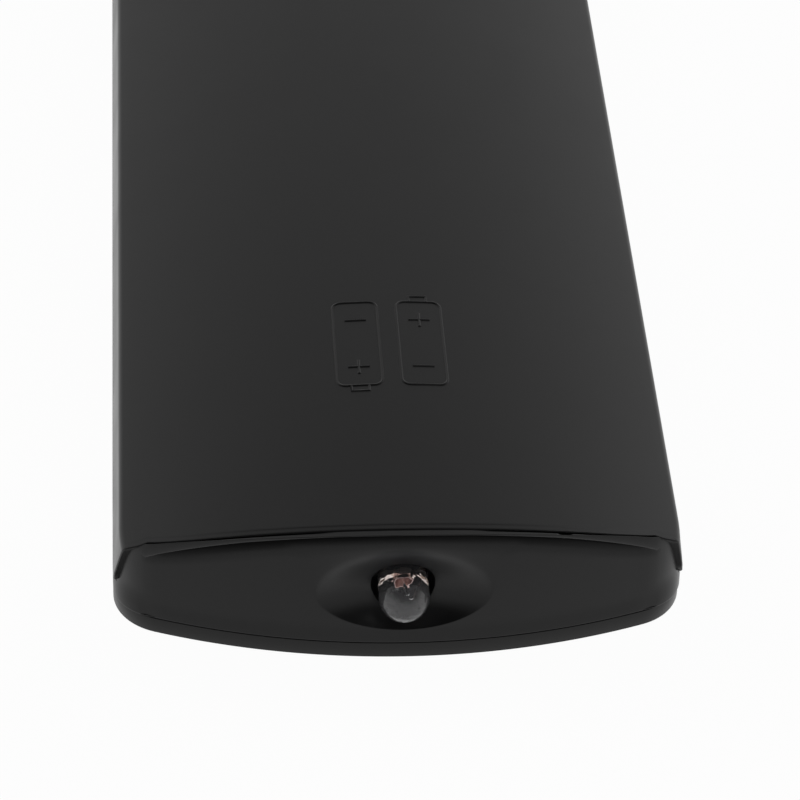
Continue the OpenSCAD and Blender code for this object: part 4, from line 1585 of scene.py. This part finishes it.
@dataclass
class BatteryDoor:
    """The sliding door over the cells, with thumb grooves, tongues and hooks."""

    body: Body
    name: str = "battery_door"
    edge: float = 0.3
    edge_count: int = 5
    corner_count: int = 16
    groove_half: float = 8.0
    groove_ends: Pair = (-1.2, 0.4)
    groove_flat: float = 0.25
    groove_reach: float = 0.65
    groove_step: float = 2.2
    groove_set: float = 5.0
    groove_deep: float = 0.5
    groove_count: int = 5
    groove_marks: tuple[float, ...] = (0.25, 0.38, 0.52, 0.65)
    front_marks: Pair = (1.0, 2.5)
    rear_from: float = 2.0
    rear_count: int = 16
    tongue_w: float = 4.4
    tongue_x: float = 13.5
    tongue_t: float = 1.0
    tongue_air: float = 0.3
    tongue_end: float = 2.3
    tongue_tip: float = 0.5
    tongue_root: float = 3.1
    tongue_count: int = 7
    tip_taper: Pair = (0.35, 0.21)
    overlap: float = 0.1
    hook_l: float = 8.0
    hook_set: float = 2.0
    hook_root: float = 0.2
    hook_count: int = 3

    @property
    def front_y(self) -> float:
        """Place of the front edge."""
        return self.body.door_y + self.body.seam_gap / 2

    def groove_ys(self) -> list[float]:
        """Give the middles of the thumb grooves."""
        first = self.body.door_y + self.groove_set
        return [first + i * self.groove_step for i in range(self.groove_count)]

    def groove(self, x: float, y: float) -> float:
        """Give the depth of the thumb grooves at a place of the crown.

        Args:
            x, y: Place in plan.

        Returns:
            The depth there.
        """
        near, far = (self.groove_half + d for d in self.groove_ends)
        away = min(abs(y - middle) for middle in self.groove_ys())
        deep = 1.0 - blend(self.groove_flat, self.groove_reach, away)
        return self.groove_deep * (1.0 - blend(near, far, abs(x))) * deep

    def section(self, y: float, inset: float, sink: float) -> list[Point]:
        """Give the whole cross-section of a skin, from left to right.

        Args:
            y: Place along.
            inset, sink: Distances inside the outer form and below the skin.

        Returns:
            The points.
        """
        body = self.body
        rib = body.half_rib(body.half_w, inset, body.foot_z)
        points = []
        for index, sign in body.rib_order():
            x, z, nx, nz = rib[index]
            deep = sink + (0.0 if inset else self.groove(x, y))
            points.append((sign * (x - nx * deep), y, z - nz * deep))
        return points

    def places(self) -> list[float]:
        """Give the places of the sections, close together at the grooves.

        Returns:
            The places along.
        """
        marks = []
        for middle in self.groove_ys():
            marks += [middle + side * step for side in (-1, 1) for step in self.groove_marks] + [middle]
        rear = spaced(marks[-1] + self.rear_from, self.body.tail_y - self.body.corner_set, self.rear_count)
        return [self.front_y + step for step in self.front_marks] + sorted(marks) + rear

    def build(self) -> None:
        """Make the door's skin and wall, its tongues and its hooks."""
        body, mesher = replace(self.body, corner_count=self.corner_count), Mesher()
        steps = [(self.front_y + along, sink) for along, sink in round_edge(self.edge, self.edge_count)]
        steps += [(y, 0.0) for y in self.places()]
        outer = [mesher.row(self.section(y, 0.0, sink)) for y, sink in steps]
        inner = [mesher.row(self.section(self.front_y if sink else y, body.wall, 0.0)) for y, sink in steps]
        mesher.loft(outer)
        mesher.loft(inner)
        mesher.strip(outer[0], inner[0])
        for column in (0, -1):
            mesher.strip([row[column] for row in outer], [row[column] for row in inner])
        feet = []
        for inset in (0.0, body.wall):
            ribs = [mesher.row(body.tail_rib(station, inset)) for station in body.tail_round(inset)]
            mesher.loft(ribs)
            feet.append([rib[0] for rib in ribs])
        mesher.strip(*feet)
        mesher.piece("battery_door_skin", "battery_door", body=self.name)
        self.tongues()
        self.hooks()

    def tongue_bar(self, mesher: Mesher, sign: int, ends: Sequence[Point]) -> None:
        """Add one bar of a tongue, bent to the crown.

        Args:
            mesher, sign: Mesh of the tongues, and the side, 1 for the right one.
            ends: Place along of each section, with the insets of its upper and lower faces.
        """
        xs = spaced(self.tongue_x, self.tongue_x + self.tongue_w, self.tongue_count)
        rows = []
        for y, top, low in ends:
            upper = [(sign * x, y, self.body.crown(x, top)) for x in xs]
            lower = [(sign * x, y, self.body.crown(x, low)) for x in reversed(xs)]
            rows.append(mesher.row(upper + lower))
        mesher.barrel(rows)

    def tongues(self) -> None:
        """Make the two tongues that slide under the back shell."""
        mesher = Mesher()
        wall, under = self.body.wall, self.body.wall + self.tongue_air
        start, stop = box_mm("battery_door")[0].y, self.body.door_y + self.tongue_end
        low, (top_taper, low_taper) = under + self.tongue_t, self.tip_taper
        blade = ((start, under + top_taper, low - low_taper), (start + self.tongue_tip, under, low),
                 (stop, under, low))
        root = [(y, wall - self.overlap, under + self.overlap) for y in (start + self.tongue_root, stop)]
        for sign in (-1, 1):
            self.tongue_bar(mesher, sign, blade)
            self.tongue_bar(mesher, sign, root)
        mesher.piece("battery_door_tongues", body=self.name)

    def hooks(self) -> None:
        """Make three hooks a side that run under the front shell's rails."""
        body, mesher = self.body, Mesher()
        inner, outer = BAY.hook_x(body), body.half_w - body.wall + self.hook_root
        low = body.part_z + BAY.air
        near, far = BAY.rail_ys(body)
        for y in spaced(near + self.hook_set, far - self.hook_l - self.hook_set, self.hook_count):
            mesher.twins((inner, y, low), (outer, y + self.hook_l, low + BAY.hook_t))
        mesher.piece("battery_door_hooks", body=self.name)


class LeadSlot(IntEnum):
    """Material slots of the leadframe."""

    LEAD = 0
    DIE = 1
    CUP = 2


@dataclass
class Emitter:
    """The clear infrared emitter with its leadframe, reflector cup, die and bond wire."""

    radius: float = 2.5
    sides: int = 64
    dome_count: int = 25
    flange_t: float = 1.0
    flange_round: float = 0.1
    flange_edge: float = 0.05
    lead_t: float = 0.5
    lead_pitch: float = 2.54
    lead_set: float = 0.4
    wing_half: float = 0.45
    wing_set: float = 0.7
    wing_l: float = 1.6
    wing_out: float = 1.75
    wing_in: Pair = (0.4, 0.75)
    anvil_l: float = 0.8
    anvil_half: float = 0.5
    anvil_lap: float = 0.05
    cup_r: float = 0.55
    cup_l: float = 0.7
    cup_set: float = 1.3
    cup_deep: float = 0.6
    cup_wall: float = 0.1
    cup_lip: float = 0.03
    cup_neck: float = 0.8
    die_half: float = 0.18
    die_y: Pair = (0.4, 0.61)
    wire_r: float = 0.05
    wire_sides: int = 8
    wire_count: int = 17
    wire_reach: float = 2.0
    wire_power: float = 0.8
    wire_end: float = 0.3
    wire_rise: float = 0.1

    def build(self) -> None:
        """Make the lens and what it holds."""
        low, high = box_mm("emitter_lens")
        middle_z, flange_r = (low.z + high.z) / 2, (high.z - low.z) / 2
        radius, dome_y = self.radius, low.y + self.radius
        back, soft, edge = high.y - self.flange_t, self.flange_round, self.flange_edge
        profile = [(radius * sin(a), dome_y - radius * cos(a))
                   for a in spaced(0.0, pi / 2, self.dome_count)]
        profile += [(radius, back - soft), (radius + soft, back), (flange_r, back + edge),
                    (flange_r, high.y - edge), (flange_r - soft, high.y), (0.0, high.y)]
        mesher = Mesher()
        mesher.lathe(profile, lambda y, a, b: (a, y, middle_z + b), self.sides)
        mesher.piece("emitter_lens_clear", "emitter_lens", finishes=[Finish.EPOXY])
        self.leadframe(dome_y + self.cup_set, middle_z)

    def leadframe(self, cup_y: float, z: float) -> None:
        """Make both leads with wings, the anvil with its cup, the die and the wire.

        Args:
            cup_y, z: Place of the cup's front, and height of the emitter's axis.
        """
        mesher = Mesher()
        solder_y = box_mm("emitter_leads")[1].y
        half, pitch, wing = self.lead_t / 2, self.lead_pitch / 2, self.wing_half
        cup_back, wing_y = cup_y + self.cup_l, cup_y + self.wing_set
        anvil_back, (left_in, right_in) = cup_back + self.anvil_l, self.wing_in
        for x, y in ((-pitch, cup_back), (pitch, cup_y + self.lead_set)):
            mesher.block((x - half, y, z - half), (x + half, solder_y, z + half))
        for x0, x1, y0, y1 in ((right_in, self.wing_out, wing_y, cup_y + self.wing_l),
                               (-self.wing_out, -left_in, wing_y, anvil_back),
                               (-self.anvil_half, self.anvil_half, cup_back - self.anvil_lap, anvil_back)):
            mesher.block((x0, y0, z - wing), (x1, y1, z + wing))
        outer, floor_y = self.cup_r, cup_y + self.cup_deep
        profile = [(0.0, cup_back), (outer * self.cup_neck, cup_back), (outer, cup_y + self.cup_wall),
                   (outer - self.cup_lip, cup_y), (outer - self.cup_wall, cup_y), (outer / 2, floor_y),
                   (0.0, floor_y)]
        mesher.lathe(profile, lambda y, a, b: (a, y, z + b), slots=[LeadSlot.CUP] * (len(profile) - 1))
        die, (front, back) = self.die_half, (cup_y + d for d in self.die_y)
        mesher.block((-die, front, z - die), (die, back, z + die), LeadSlot.DIE)
        wire = [Vector((mix(0.0, pitch - self.wire_end, s),
                        front - self.wire_reach * sin(pi * s) ** self.wire_power, z + self.wire_rise))
                for s in spaced(0.0, 1.0, self.wire_count)]
        mesher.tube(wire, self.wire_r, self.wire_sides, LeadSlot.DIE)
        mesher.piece("emitter_leadframe", "emitter_leads", finishes=[Finish.COPPER, Finish.SILVERED, Finish.CUP])


class Sign(Enum):
    """Drawn signs, each with the keys that carry it."""

    POWER = ("power_key",)
    INPUT = ("source_key",)
    SCREEN = ("screen_key",)
    DISC = ("disc_key",)
    WAVES = ("receiver_key",)
    BARS = ("sound_key",)
    BACK = ("recall_key",)
    LINES = ("page_key", "menu_key")
    PLUS = ("volume_up_key",)
    MINUS = ("volume_down_key",)
    SILENT = ("mute_key",)
    UP = ("channel_up_key", "up_key")
    DOWN = ("channel_down_key", "down_key")
    LEFT = ("left_key",)
    RIGHT = ("right_key",)
    CROSS = ("exit_key",)


KEY_FINISHES: dict[Finish, tuple[str, ...]] = {
    Finish.KEY_RED: ("power_key", "red_key"), Finish.KEY_GREEN: ("green_key",),
    Finish.KEY_YELLOW: ("yellow_key",), Finish.KEY_BLUE: ("blue_key",),
    Finish.KEY_GREY: ("recall_key", "page_key", "up_key", "down_key", "left_key", "right_key", "ok_key")}


@dataclass
class Keypad:
    """The keys: crowned caps with flanges and printed signs."""

    crown: float = 0.3
    crown_shares: tuple[float, ...] = (0.02, 0.35, 0.65, 0.85, 1.0)
    crown_most: float = 2.0
    fillet: float = 0.35
    fillet_from: float = 0.25
    fillet_count: int = 5
    flange_t: float = 0.7
    flange_edge: float = 0.1
    print_slot: int = 1
    print_t: float = 0.02
    sign_h: float = 2.2
    text_scale: float = 1.45
    text_steps: int = 4
    line: float = 0.34
    wave_r: Pair = (0.9, 1.6)
    wave_open: float = 0.8
    ring_open: float = 0.6
    arc_count: int = 25
    wave_count: int = 9

    def build(self) -> None:
        """Make every key."""
        for key in KeyPlan.every():
            self.key(key)

    def finish_of(self, key: KeyPlan) -> Finish:
        """Give the finish of a key's cap."""
        plain = Finish.KEY_GREY if key.node.startswith("digit") else Finish.KEY_DARK
        return next((finish for finish, nodes in KEY_FINISHES.items() if key.node in nodes), plain)

    def top(self, key: KeyPlan, x: float, y: float) -> float:
        """Give the height of a cap's crowned front at a place."""
        away = ((x - key.x) / (key.width / 2)) ** 2 + ((y - key.y) / (key.length / 2)) ** 2
        return key.low_z + self.crown * min(self.crown_most, away) / 2

    def key(self, key: KeyPlan) -> None:
        """Make one key.

        Args:
            key: Its place and plan.
        """
        mesher, rows = Mesher(), []
        front = key.loop(-self.fillet)
        for share in self.crown_shares:
            plan = [(mix(key.x, x, share), mix(key.y, y, share)) for x, y in front]
            rows.append(mesher.row((x, y, self.top(key, x, y)) for x, y in plan))
        edge, flange_z, over = key.low_z + self.crown, key.high_z - self.flange_t, key.flange_over
        for angle in spaced(self.fillet_from, pi / 2, self.fillet_count):
            lift, share = self.fillet * (1 - cos(angle)), sin(angle)
            plan = key.loop(self.fillet * (share - 1))
            rows.append(mesher.row((x, y, mix(self.top(key, x, y), edge, share) + lift) for x, y in plan))
        for grow, z in ((0.0, flange_z), (over - self.flange_edge, flange_z), (over, flange_z + self.flange_edge),
                        (over, key.high_z), (-self.fillet, key.high_z)):
            rows.append(mesher.row((x, y, z) for x, y in key.loop(grow)))
        mesher.barrel(rows)
        self.print_sign(mesher, key)
        cap = self.finish_of(key)
        dark_print = cap in (Finish.KEY_GREY, Finish.KEY_YELLOW)
        finishes = [cap, Finish.PRINT_DARK if dark_print else Finish.PRINT_PALE]
        mesher.piece(f"{key.node}_cap", key.node, body=key.node, finishes=finishes)

    def print_sign(self, mesher: Mesher, key: KeyPlan) -> None:
        """Add the sign on a key's front, bent to its crown.

        Args:
            mesher, key: Mesh and plan of the key.
        """
        def place(u: float, v: float, w: float) -> Point:
            """Give the place of a sign's point on the key's front."""
            x, y = key.x + u, key.y - v
            return x, y, self.top(key, x, y) - w

        name, slot = key.node, self.print_slot
        text = name.split("_")[1] if name.startswith("digit") else "OK" if name == "ok_key" else ""
        if text:
            points, faces = self.text_solid(text)
            numbers = mesher.row(place(*point) for point in points)
            for corners in faces:
                mesher.face(*(numbers[c] for c in corners), slot=slot)
        for plan in self.shapes(name):
            levels = (-self.print_t, self.print_t)
            mesher.barrel([mesher.row(place(u, v, w) for u, v in plan) for w in levels], slot)

    def text_solid(self, text: str) -> tuple[list[Point], list[tuple[int, ...]]]:
        """Give the solid of a short text, in millimetres about its middle.

        Args:
            text: Figures or letters.

        Returns:
            Its points and faces.
        """
        curve = bpy.data.curves.new("sign_text", "FONT")
        curve.body = text
        curve.size = self.sign_h * self.text_scale
        curve.extrude = self.print_t
        curve.align_x, curve.align_y = "CENTER", "CENTER"
        curve.resolution_u = self.text_steps
        mesh = mesh_of("sign_text", curve)
        points = [tuple(v.co) for v in mesh.vertices]
        faces = [tuple(p.vertices) for p in mesh.polygons]
        bpy.data.meshes.remove(mesh)
        middle_x, middle_y = ((min(p[i] for p in points) + max(p[i] for p in points)) / 2 for i in (0, 1))
        return [(x - middle_x, y - middle_y, z) for x, y, z in points], faces

    def shapes(self, node: str) -> list[list[Pair]]:
        """Give the outlines of a key's drawn sign, in millimetres about its middle.

        Args:
            node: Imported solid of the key.

        Returns:
            The outlines, none where it has no sign.
        """
        sign = next((s for s in Sign if node in s.value), None)
        h, half_turn = self.sign_h / 2, pi / 2
        circle = arc(1.0, 0.0, 2 * pi, self.arc_count)
        small = [(x * BEND, y * BEND) for x, y in circle]
        power = arc(0.9, half_turn - self.ring_open, half_turn + self.ring_open - 2 * pi, self.arc_count)
        waves = [[(x, y - 0.7) for x, y in arc(r / h, self.wave_open, pi - self.wave_open, self.wave_count)]
                 for r in self.wave_r]
        bars = ((-0.9, 0.0), (-0.3, 0.8), (0.3, 0.4), (0.9, -0.2))
        across = [(-0.9, 0.0), (0.9, 0.0)]
        solid = {
            Sign.UP: [(-1, -0.6), (1, -0.6), (0, 0.8)], Sign.DOWN: [(-1, 0.6), (0, -0.8), (1, 0.6)],
            Sign.LEFT: [(0.6, -1), (0.6, 1), (-0.8, 0)], Sign.RIGHT: [(-0.6, -1), (0.8, 0), (-0.6, 1)],
            Sign.SILENT: [(-1.1, -0.3), (-0.6, -0.3), (0.1, -0.9), (0.1, 0.9), (-0.6, 0.3), (-1.1, 0.3)]}
        strokes = {
            Sign.POWER: [power, [(0, 0.2), (0, 1.2)]],
            Sign.INPUT: [[(0.2, 1), (1, 1), (1, -1), (0.2, -1)], [(-1.2, 0), (0.3, 0)],
                         [(-0.2, 0.5), (0.3, 0), (-0.2, -0.5)]],
            Sign.SCREEN: [[(-1.3, -0.8), (1.3, -0.8), (1.3, 0.8), (-1.3, 0.8), (-1.3, -0.8)]],
            Sign.DISC: [circle, small],
            Sign.WAVES: [*waves, small],
            Sign.BARS: [[(x, -0.8), (x, y)] for x, y in bars],
            Sign.BACK: [[(-0.9, 0.4), (0.6, 0.4), (1, 0), (0.6, -0.6), (-0.6, -0.6)],
                        [(-0.4, 0.9), (-0.9, 0.4), (-0.4, -0.1)]],
            Sign.LINES: [[(-1, y), (1, y)] for y in (-0.6, 0.0, 0.6)],
            Sign.PLUS: [across, [(0, -0.9), (0, 0.9)]],
            Sign.MINUS: [across],
            Sign.SILENT: [[(0.5, -0.5), (1.3, 0.5)], [(0.5, 0.5), (1.3, -0.5)]],
            Sign.CROSS: [[(-0.7, -0.7), (0.7, 0.7)], [(-0.7, 0.7), (0.7, -0.7)]]}
        found = [[(x * h, y * h) for x, y in solid[sign]]] if sign in solid else []
        for line in strokes.get(sign, []):
            places = [(x * h, y * h) for x, y in line]
            found += [self.bar(a, b) for a, b in zip(places, places[1:])]
        return found

    def bar(self, a: Pair, b: Pair) -> list[Pair]:
        """Give the outline of a bar of the line's width.

        Args:
            a, b: Its ends.

        Returns:
            The outline.
        """
        along = Vector((b[0] - a[0], b[1] - a[1])).normalized() * self.line / 2
        side = Vector((-along.y, along.x))
        start, stop = Vector(a) - along * 0.5, Vector(b) + along * 0.5
        return [tuple(p) for p in (start - side, stop - side, stop + side, start + side)]


class CellSlot(IntEnum):
    """Material slots of a cell."""

    SLEEVE = 0
    BAND = 1
    METAL = 2
    PRINT = 3


@dataclass
class BatteryBay:
    """The two cells, their springs and the screws."""

    ways: tuple[tuple[str, float], ...] = (("battery_left", 1.0), ("battery_right", -1.0))
    cell_sides: int = 64
    button_l: float = 0.9
    plus_y: float = 0.58
    plus_arm: float = 1.3
    plus_half: float = 0.28
    plus_t: float = 0.03
    wire_r: float = 0.25
    wire_sides: int = 12
    wire_air: float = 0.1
    wide_r: float = 3.4
    tip_r: float = 1.8
    turns: float = 4.5
    flat_turns: Pair = (0.6, 0.5)
    turn_steps: int = 24

    def build(self) -> None:
        """Make the cells, the springs and the screws."""
        for node, way in self.ways:
            self.cell(node, way)
        self.springs()
        self.screws("shell_screws")
        self.screws("board_screws")

    def cell(self, node: str, way: float) -> None:
        """Make one cell: sleeve with a band, bare rims and a button.

        Args:
            node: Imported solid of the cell.
            way: 1 where the button points to the tail, -1 where it points to the emitter.
        """
        low, high = box_mm(node)
        radius, length = (high.x - low.x) / 2, high.y - low.y
        x, z = (low.x + high.x) / 2, (low.z + high.z) / 2
        start, can = low.y if way > 0 else high.y, length - self.button_l
        sleeve, band, metal = CellSlot.SLEEVE, CellSlot.BAND, CellSlot.METAL
        base = [(0.0, 0.15), (3.2, 0.15), (3.4, 0.0), (4.3, 0.0), (4.6, 0.3)]
        lower = [(4.75, 0.6), (radius - 0.12, 0.62), (radius, 0.75)]
        bands = [(radius, can * 0.68), (radius, can * 0.695)]
        upper = [(radius, can * 0.93), (radius, can - 0.75), (radius - 0.15, can - 0.55)]
        button = [(4.6, can - 0.5), (4.3, can - 0.15), (3.0, can), (2.0, can), (1.9, can + 0.05),
                  (1.9, length - 0.2), (1.7, length), (0.0, length)]
        slots = [metal] * len(base) + [sleeve] * len(lower) + [metal, band] + [sleeve] * len(upper)
        slots += [metal] * (len(button) - 1)
        mesher = Mesher()
        mesher.lathe(base + lower + bands + upper + button, lambda y, a, b: (x + a, start + way * y, z + b),
                     self.cell_sides, slots)
        self.polarity(mesher, (x, start + way * can * self.plus_y, z), radius)
        finishes = [Finish.CELL_SLEEVE, Finish.CELL_BAND, Finish.NICKEL, Finish.PRINT_PALE]
        mesher.piece(f"{node}_cell", node, finishes=finishes)

    def polarity(self, mesher: Mesher, place: Point, radius: float) -> None:
        """Print a plus sign on a cell's sleeve, on its upper side.

        Args:
            mesher, radius: Mesh and radius of the cell.
            place: Place of the sign's middle on the cell's axis.
        """
        x, y, z = place
        for wide, tall in ((self.plus_arm, self.plus_half), (self.plus_half, self.plus_arm)):
            plan = [(u, v) for v, us in ((-tall, (-wide, 0.0, wide)), (tall, (wide, 0.0, -wide))) for u in us]
            rows = []
            for size in (radius, radius + self.plus_t):
                rows.append(mesher.row((x + size * sin(u / radius), y + v, z + size * cos(u / radius))
                                       for u, v in plan))
            mesher.loft(rows, ring=True, slot=CellSlot.PRINT)
            mesher.face(*rows[1], slot=CellSlot.PRINT)

    def springs(self) -> None:
        """Make the two conical springs, each with flat end turns."""
        mesher = Mesher()
        first, last = self.flat_turns
        rise = BAY.spring_l - 2 * (self.wire_r + self.wire_air)
        for node, way in self.ways:
            low, high = box_mm(node)
            x, z = (low.x + high.x) / 2, (low.z + high.z) / 2
            seat = low.y - BAY.spring_l if way > 0 else high.y + BAY.spring_l
            path = []
            for step in range(int(self.turns * self.turn_steps) + 1):
                turn = step / self.turn_steps
                share = min(1.0, max(0.0, (turn - first) / (self.turns - first - last)))
                radius = mix(self.wide_r, self.tip_r, min(1.0, turn / self.turns))
                y = seat + way * (self.wire_r + self.wire_air + rise * share)
                angle = 2 * pi * turn
                path.append(Vector((x + radius * cos(angle), y, z + radius * sin(angle))))
            mesher.tube(path, self.wire_r, self.wire_sides)
        mesher.piece("contact_springs_wire", "contact_springs", finishes=[Finish.NICKEL])

    def screws(self, node: str) -> None:
        """Make the pan-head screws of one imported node, each with a cross recess.

        Args:
            node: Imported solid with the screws.
        """
        mesher, turns = Mesher(), full_turn(SCREW.sides)
        low, high = box_mm(node)
        seat = high.z - SCREW.head_t
        for x, y in self.screw_places(node):
            rows = []
            for share in spaced(SCREW.first_ring, 1.0, SCREW.rings):
                points = []
                for angle in turns:
                    u, v = (SCREW.head_r * share * f(angle) for f in (cos, sin))
                    arm, reach = sorted((abs(u), abs(v)))
                    cross = (1 - blend(*SCREW.cross_w, arm)) * (1 - blend(*SCREW.cross_reach, reach))
                    z = high.z - SCREW.dome * share ** 3 - SCREW.cross_deep * cross
                    points.append((x + u, y + v, z))
                rows.append(mesher.row(points))
            for radius, z in ((SCREW.head_r, seat), (SCREW.shank_r, seat), (SCREW.shank_r, low.z + SCREW.tip_l),
                              (SCREW.tip_r, low.z)):
                rows.append(mesher.row((u, v, z) for u, v in ring(x, y, radius, SCREW.sides)))
            mesher.barrel(rows)
        mesher.piece(f"{node}_zinc", node, finishes=[Finish.ZINC])

    def screw_places(self, node: str) -> list[Pair]:
        """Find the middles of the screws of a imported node, from points that lie together.

        Args:
            node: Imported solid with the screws.

        Returns:
            Places across and along.
        """
        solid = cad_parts[node]
        groups: list[list[Vector]] = []
        for vert in solid.data.vertices:
            place = solid.matrix_world @ vert.co / MM
            group = next((g for g in groups if (g[0] - place).xy.length < SCREW.apart), None)
            if group is None:
                group = []
                groups.append(group)
            group.append(place)
        return [tuple((min(p[i] for p in g) + max(p[i] for p in g)) / 2 for i in (0, 1)) for g in groups]


@dataclass
class Electronics:
    """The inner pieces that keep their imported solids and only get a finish."""

    finishes: tuple[tuple[str, Finish], ...] = (
        ("keypad_mat", Finish.RUBBER), ("circuit_board", Finish.BOARD), ("control_chip", Finish.CHIP),
        ("crystal", Finish.CAN), ("capacitor", Finish.SLEEVE_BLUE), ("driver_transistor", Finish.CHIP),
        ("chip_resistors", Finish.CHIP), ("indicator_led", Finish.LAMP_BODY), ("minus_contact", Finish.NICKEL),
        ("plus_contact", Finish.NICKEL), ("bridge_contact", Finish.NICKEL))

    def dress(self) -> None:
        """Give each of them its finish."""
        for name, finish in self.finishes:
            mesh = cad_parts[name].data
            mesh.materials.clear()
            mesh.materials.append(finish.material)
            LOG.info("%s keeps its solid", name)


@dataclass
class Studio:
    """White table, soft light and the camera at the photographed angle."""

    body: Body
    focal_px: float = 3971.6
    image_px: float = 800.0
    sensor_mm: float = 36.0
    clip_m: Pair = (0.01, 20.0)
    pitch: float = 0.66319
    yaw: float = -0.08019
    roll: float = 0.03761
    eye: Point = (-24.71, -293.10, 262.0)
    floor_half: float = 4000.0
    floor_z: float = -0.05
    sky_tilt: float = 0.55
    sky_side: float = 0.02
    sky_span: Pair = (0.1, 0.74)
    sky_level: Pair = (1.0, 0.05)
    lamps: tuple[tuple[str, Point, Pair, float], ...] = (
        ("lamp_left", (-0.8, 0.45, 0.85), (0.7, 0.7), 1.6),
        ("lamp_right", (0.8, 0.45, 0.85), (0.7, 0.7), 1.92),
        ("lamp_front", (0.25, -0.75, 0.8), (0.16, 0.12), 0.2))

    def build(self) -> None:
        """Make the floor, the world, the lamps and the camera."""
        self.floor()
        self.world()
        self.hang_lamps()
        self.camera()

    def floor(self) -> None:
        """Make the floor, far larger than the view."""
        mesher = Mesher()
        corners = ((-1, -1), (1, -1), (1, 1), (-1, 1))
        mesher.face(*mesher.row((self.floor_half * x, self.floor_half * y, self.floor_z) for x, y in corners))
        mesher.build("studio_floor", [Finish.FLOOR])

    def world(self) -> None:
        """Set a surround that is white at the horizon and dark overhead, darker on the camera's side."""
        world = bpy.data.worlds.new("studio")
        world.use_nodes = True
        nodes = Nodes(world.node_tree)
        way = nodes.add("ShaderNodeSeparateXYZ")
        nodes.link(nodes.add("ShaderNodeTexCoord").outputs["Generated"], way.inputs[0])
        tilt = nodes.sum("MULTIPLY_ADD", way.outputs["Y"], -self.sky_tilt, 1.0)
        height = nodes.sum("MULTIPLY", way.outputs["Z"], tilt)
        height = nodes.sum("MULTIPLY_ADD", way.outputs["X"], -self.sky_side, height)
        sky = nodes.tree.nodes["Background"]
        sky.inputs["Color"].default_value = (1.0, 1.0, 1.0, 1.0)
        nodes.link(nodes.spread(height, *self.sky_level, self.sky_span), sky.inputs["Strength"])
        bpy.context.scene.world = world

    def hang_lamps(self) -> None:
        """Hang large soft lamps at both sides and a small one high above the viewer, in metres and watts."""
        for name, place, size, power in self.lamps:
            lamp = bpy.data.lights.new(name, "AREA")
            lamp.shape = "RECTANGLE"
            lamp.size, lamp.size_y = size
            lamp.energy = power
            holder = bpy.data.objects.new(name, lamp)
            holder.location = place
            holder.rotation_euler = (-Vector(place)).to_track_quat("-Z", "Y").to_euler()
            bpy.context.scene.collection.objects.link(holder)

    def camera(self) -> None:
        """Set the camera from the fitted pitch, yaw, roll, place and focal length."""
        turn = Matrix.Rotation(self.yaw, 3, "Z")
        ahead = turn @ Vector((0.0, cos(self.pitch), -sin(self.pitch)))
        up = turn @ Vector((0.0, sin(self.pitch), cos(self.pitch)))
        right = turn @ Vector((1.0, 0.0, 0.0))
        across = right * cos(self.roll) + up * sin(self.roll)
        rise = up * cos(self.roll) - right * sin(self.roll)
        lens = bpy.data.cameras.new("camera")
        lens.lens = self.focal_px / self.image_px * self.sensor_mm
        lens.sensor_width = self.sensor_mm
        lens.clip_start, lens.clip_end = self.clip_m
        camera = bpy.data.objects.new("camera", lens)
        place = Vector((self.eye[0], self.eye[1] + self.body.end_y, self.eye[2])) * MM
        turned = Matrix((across, rise, -ahead)).transposed().to_4x4()
        camera.matrix_world = Matrix.Translation(place) @ turned
        bpy.context.scene.collection.objects.link(camera)
        bpy.context.scene.camera = camera


def main() -> None:
    logging.basicConfig(level=logging.INFO, format="%(message)s")
    bpy.context.scene.view_settings.view_transform = "Standard"
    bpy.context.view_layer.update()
    body = Body.from_frame()
    field = KeyField.from_frame()
    BackShell(body).build()
    FrontShell(body).build()
    TrayInside(body, field).build()
    FacePlate(body, field).build()
    BatteryDoor(body).build()
    Emitter().build()
    Keypad().build()
    BatteryBay().build()
    Electronics().dress()
    Studio(body).build()


if __name__ == "__main__":
    main()
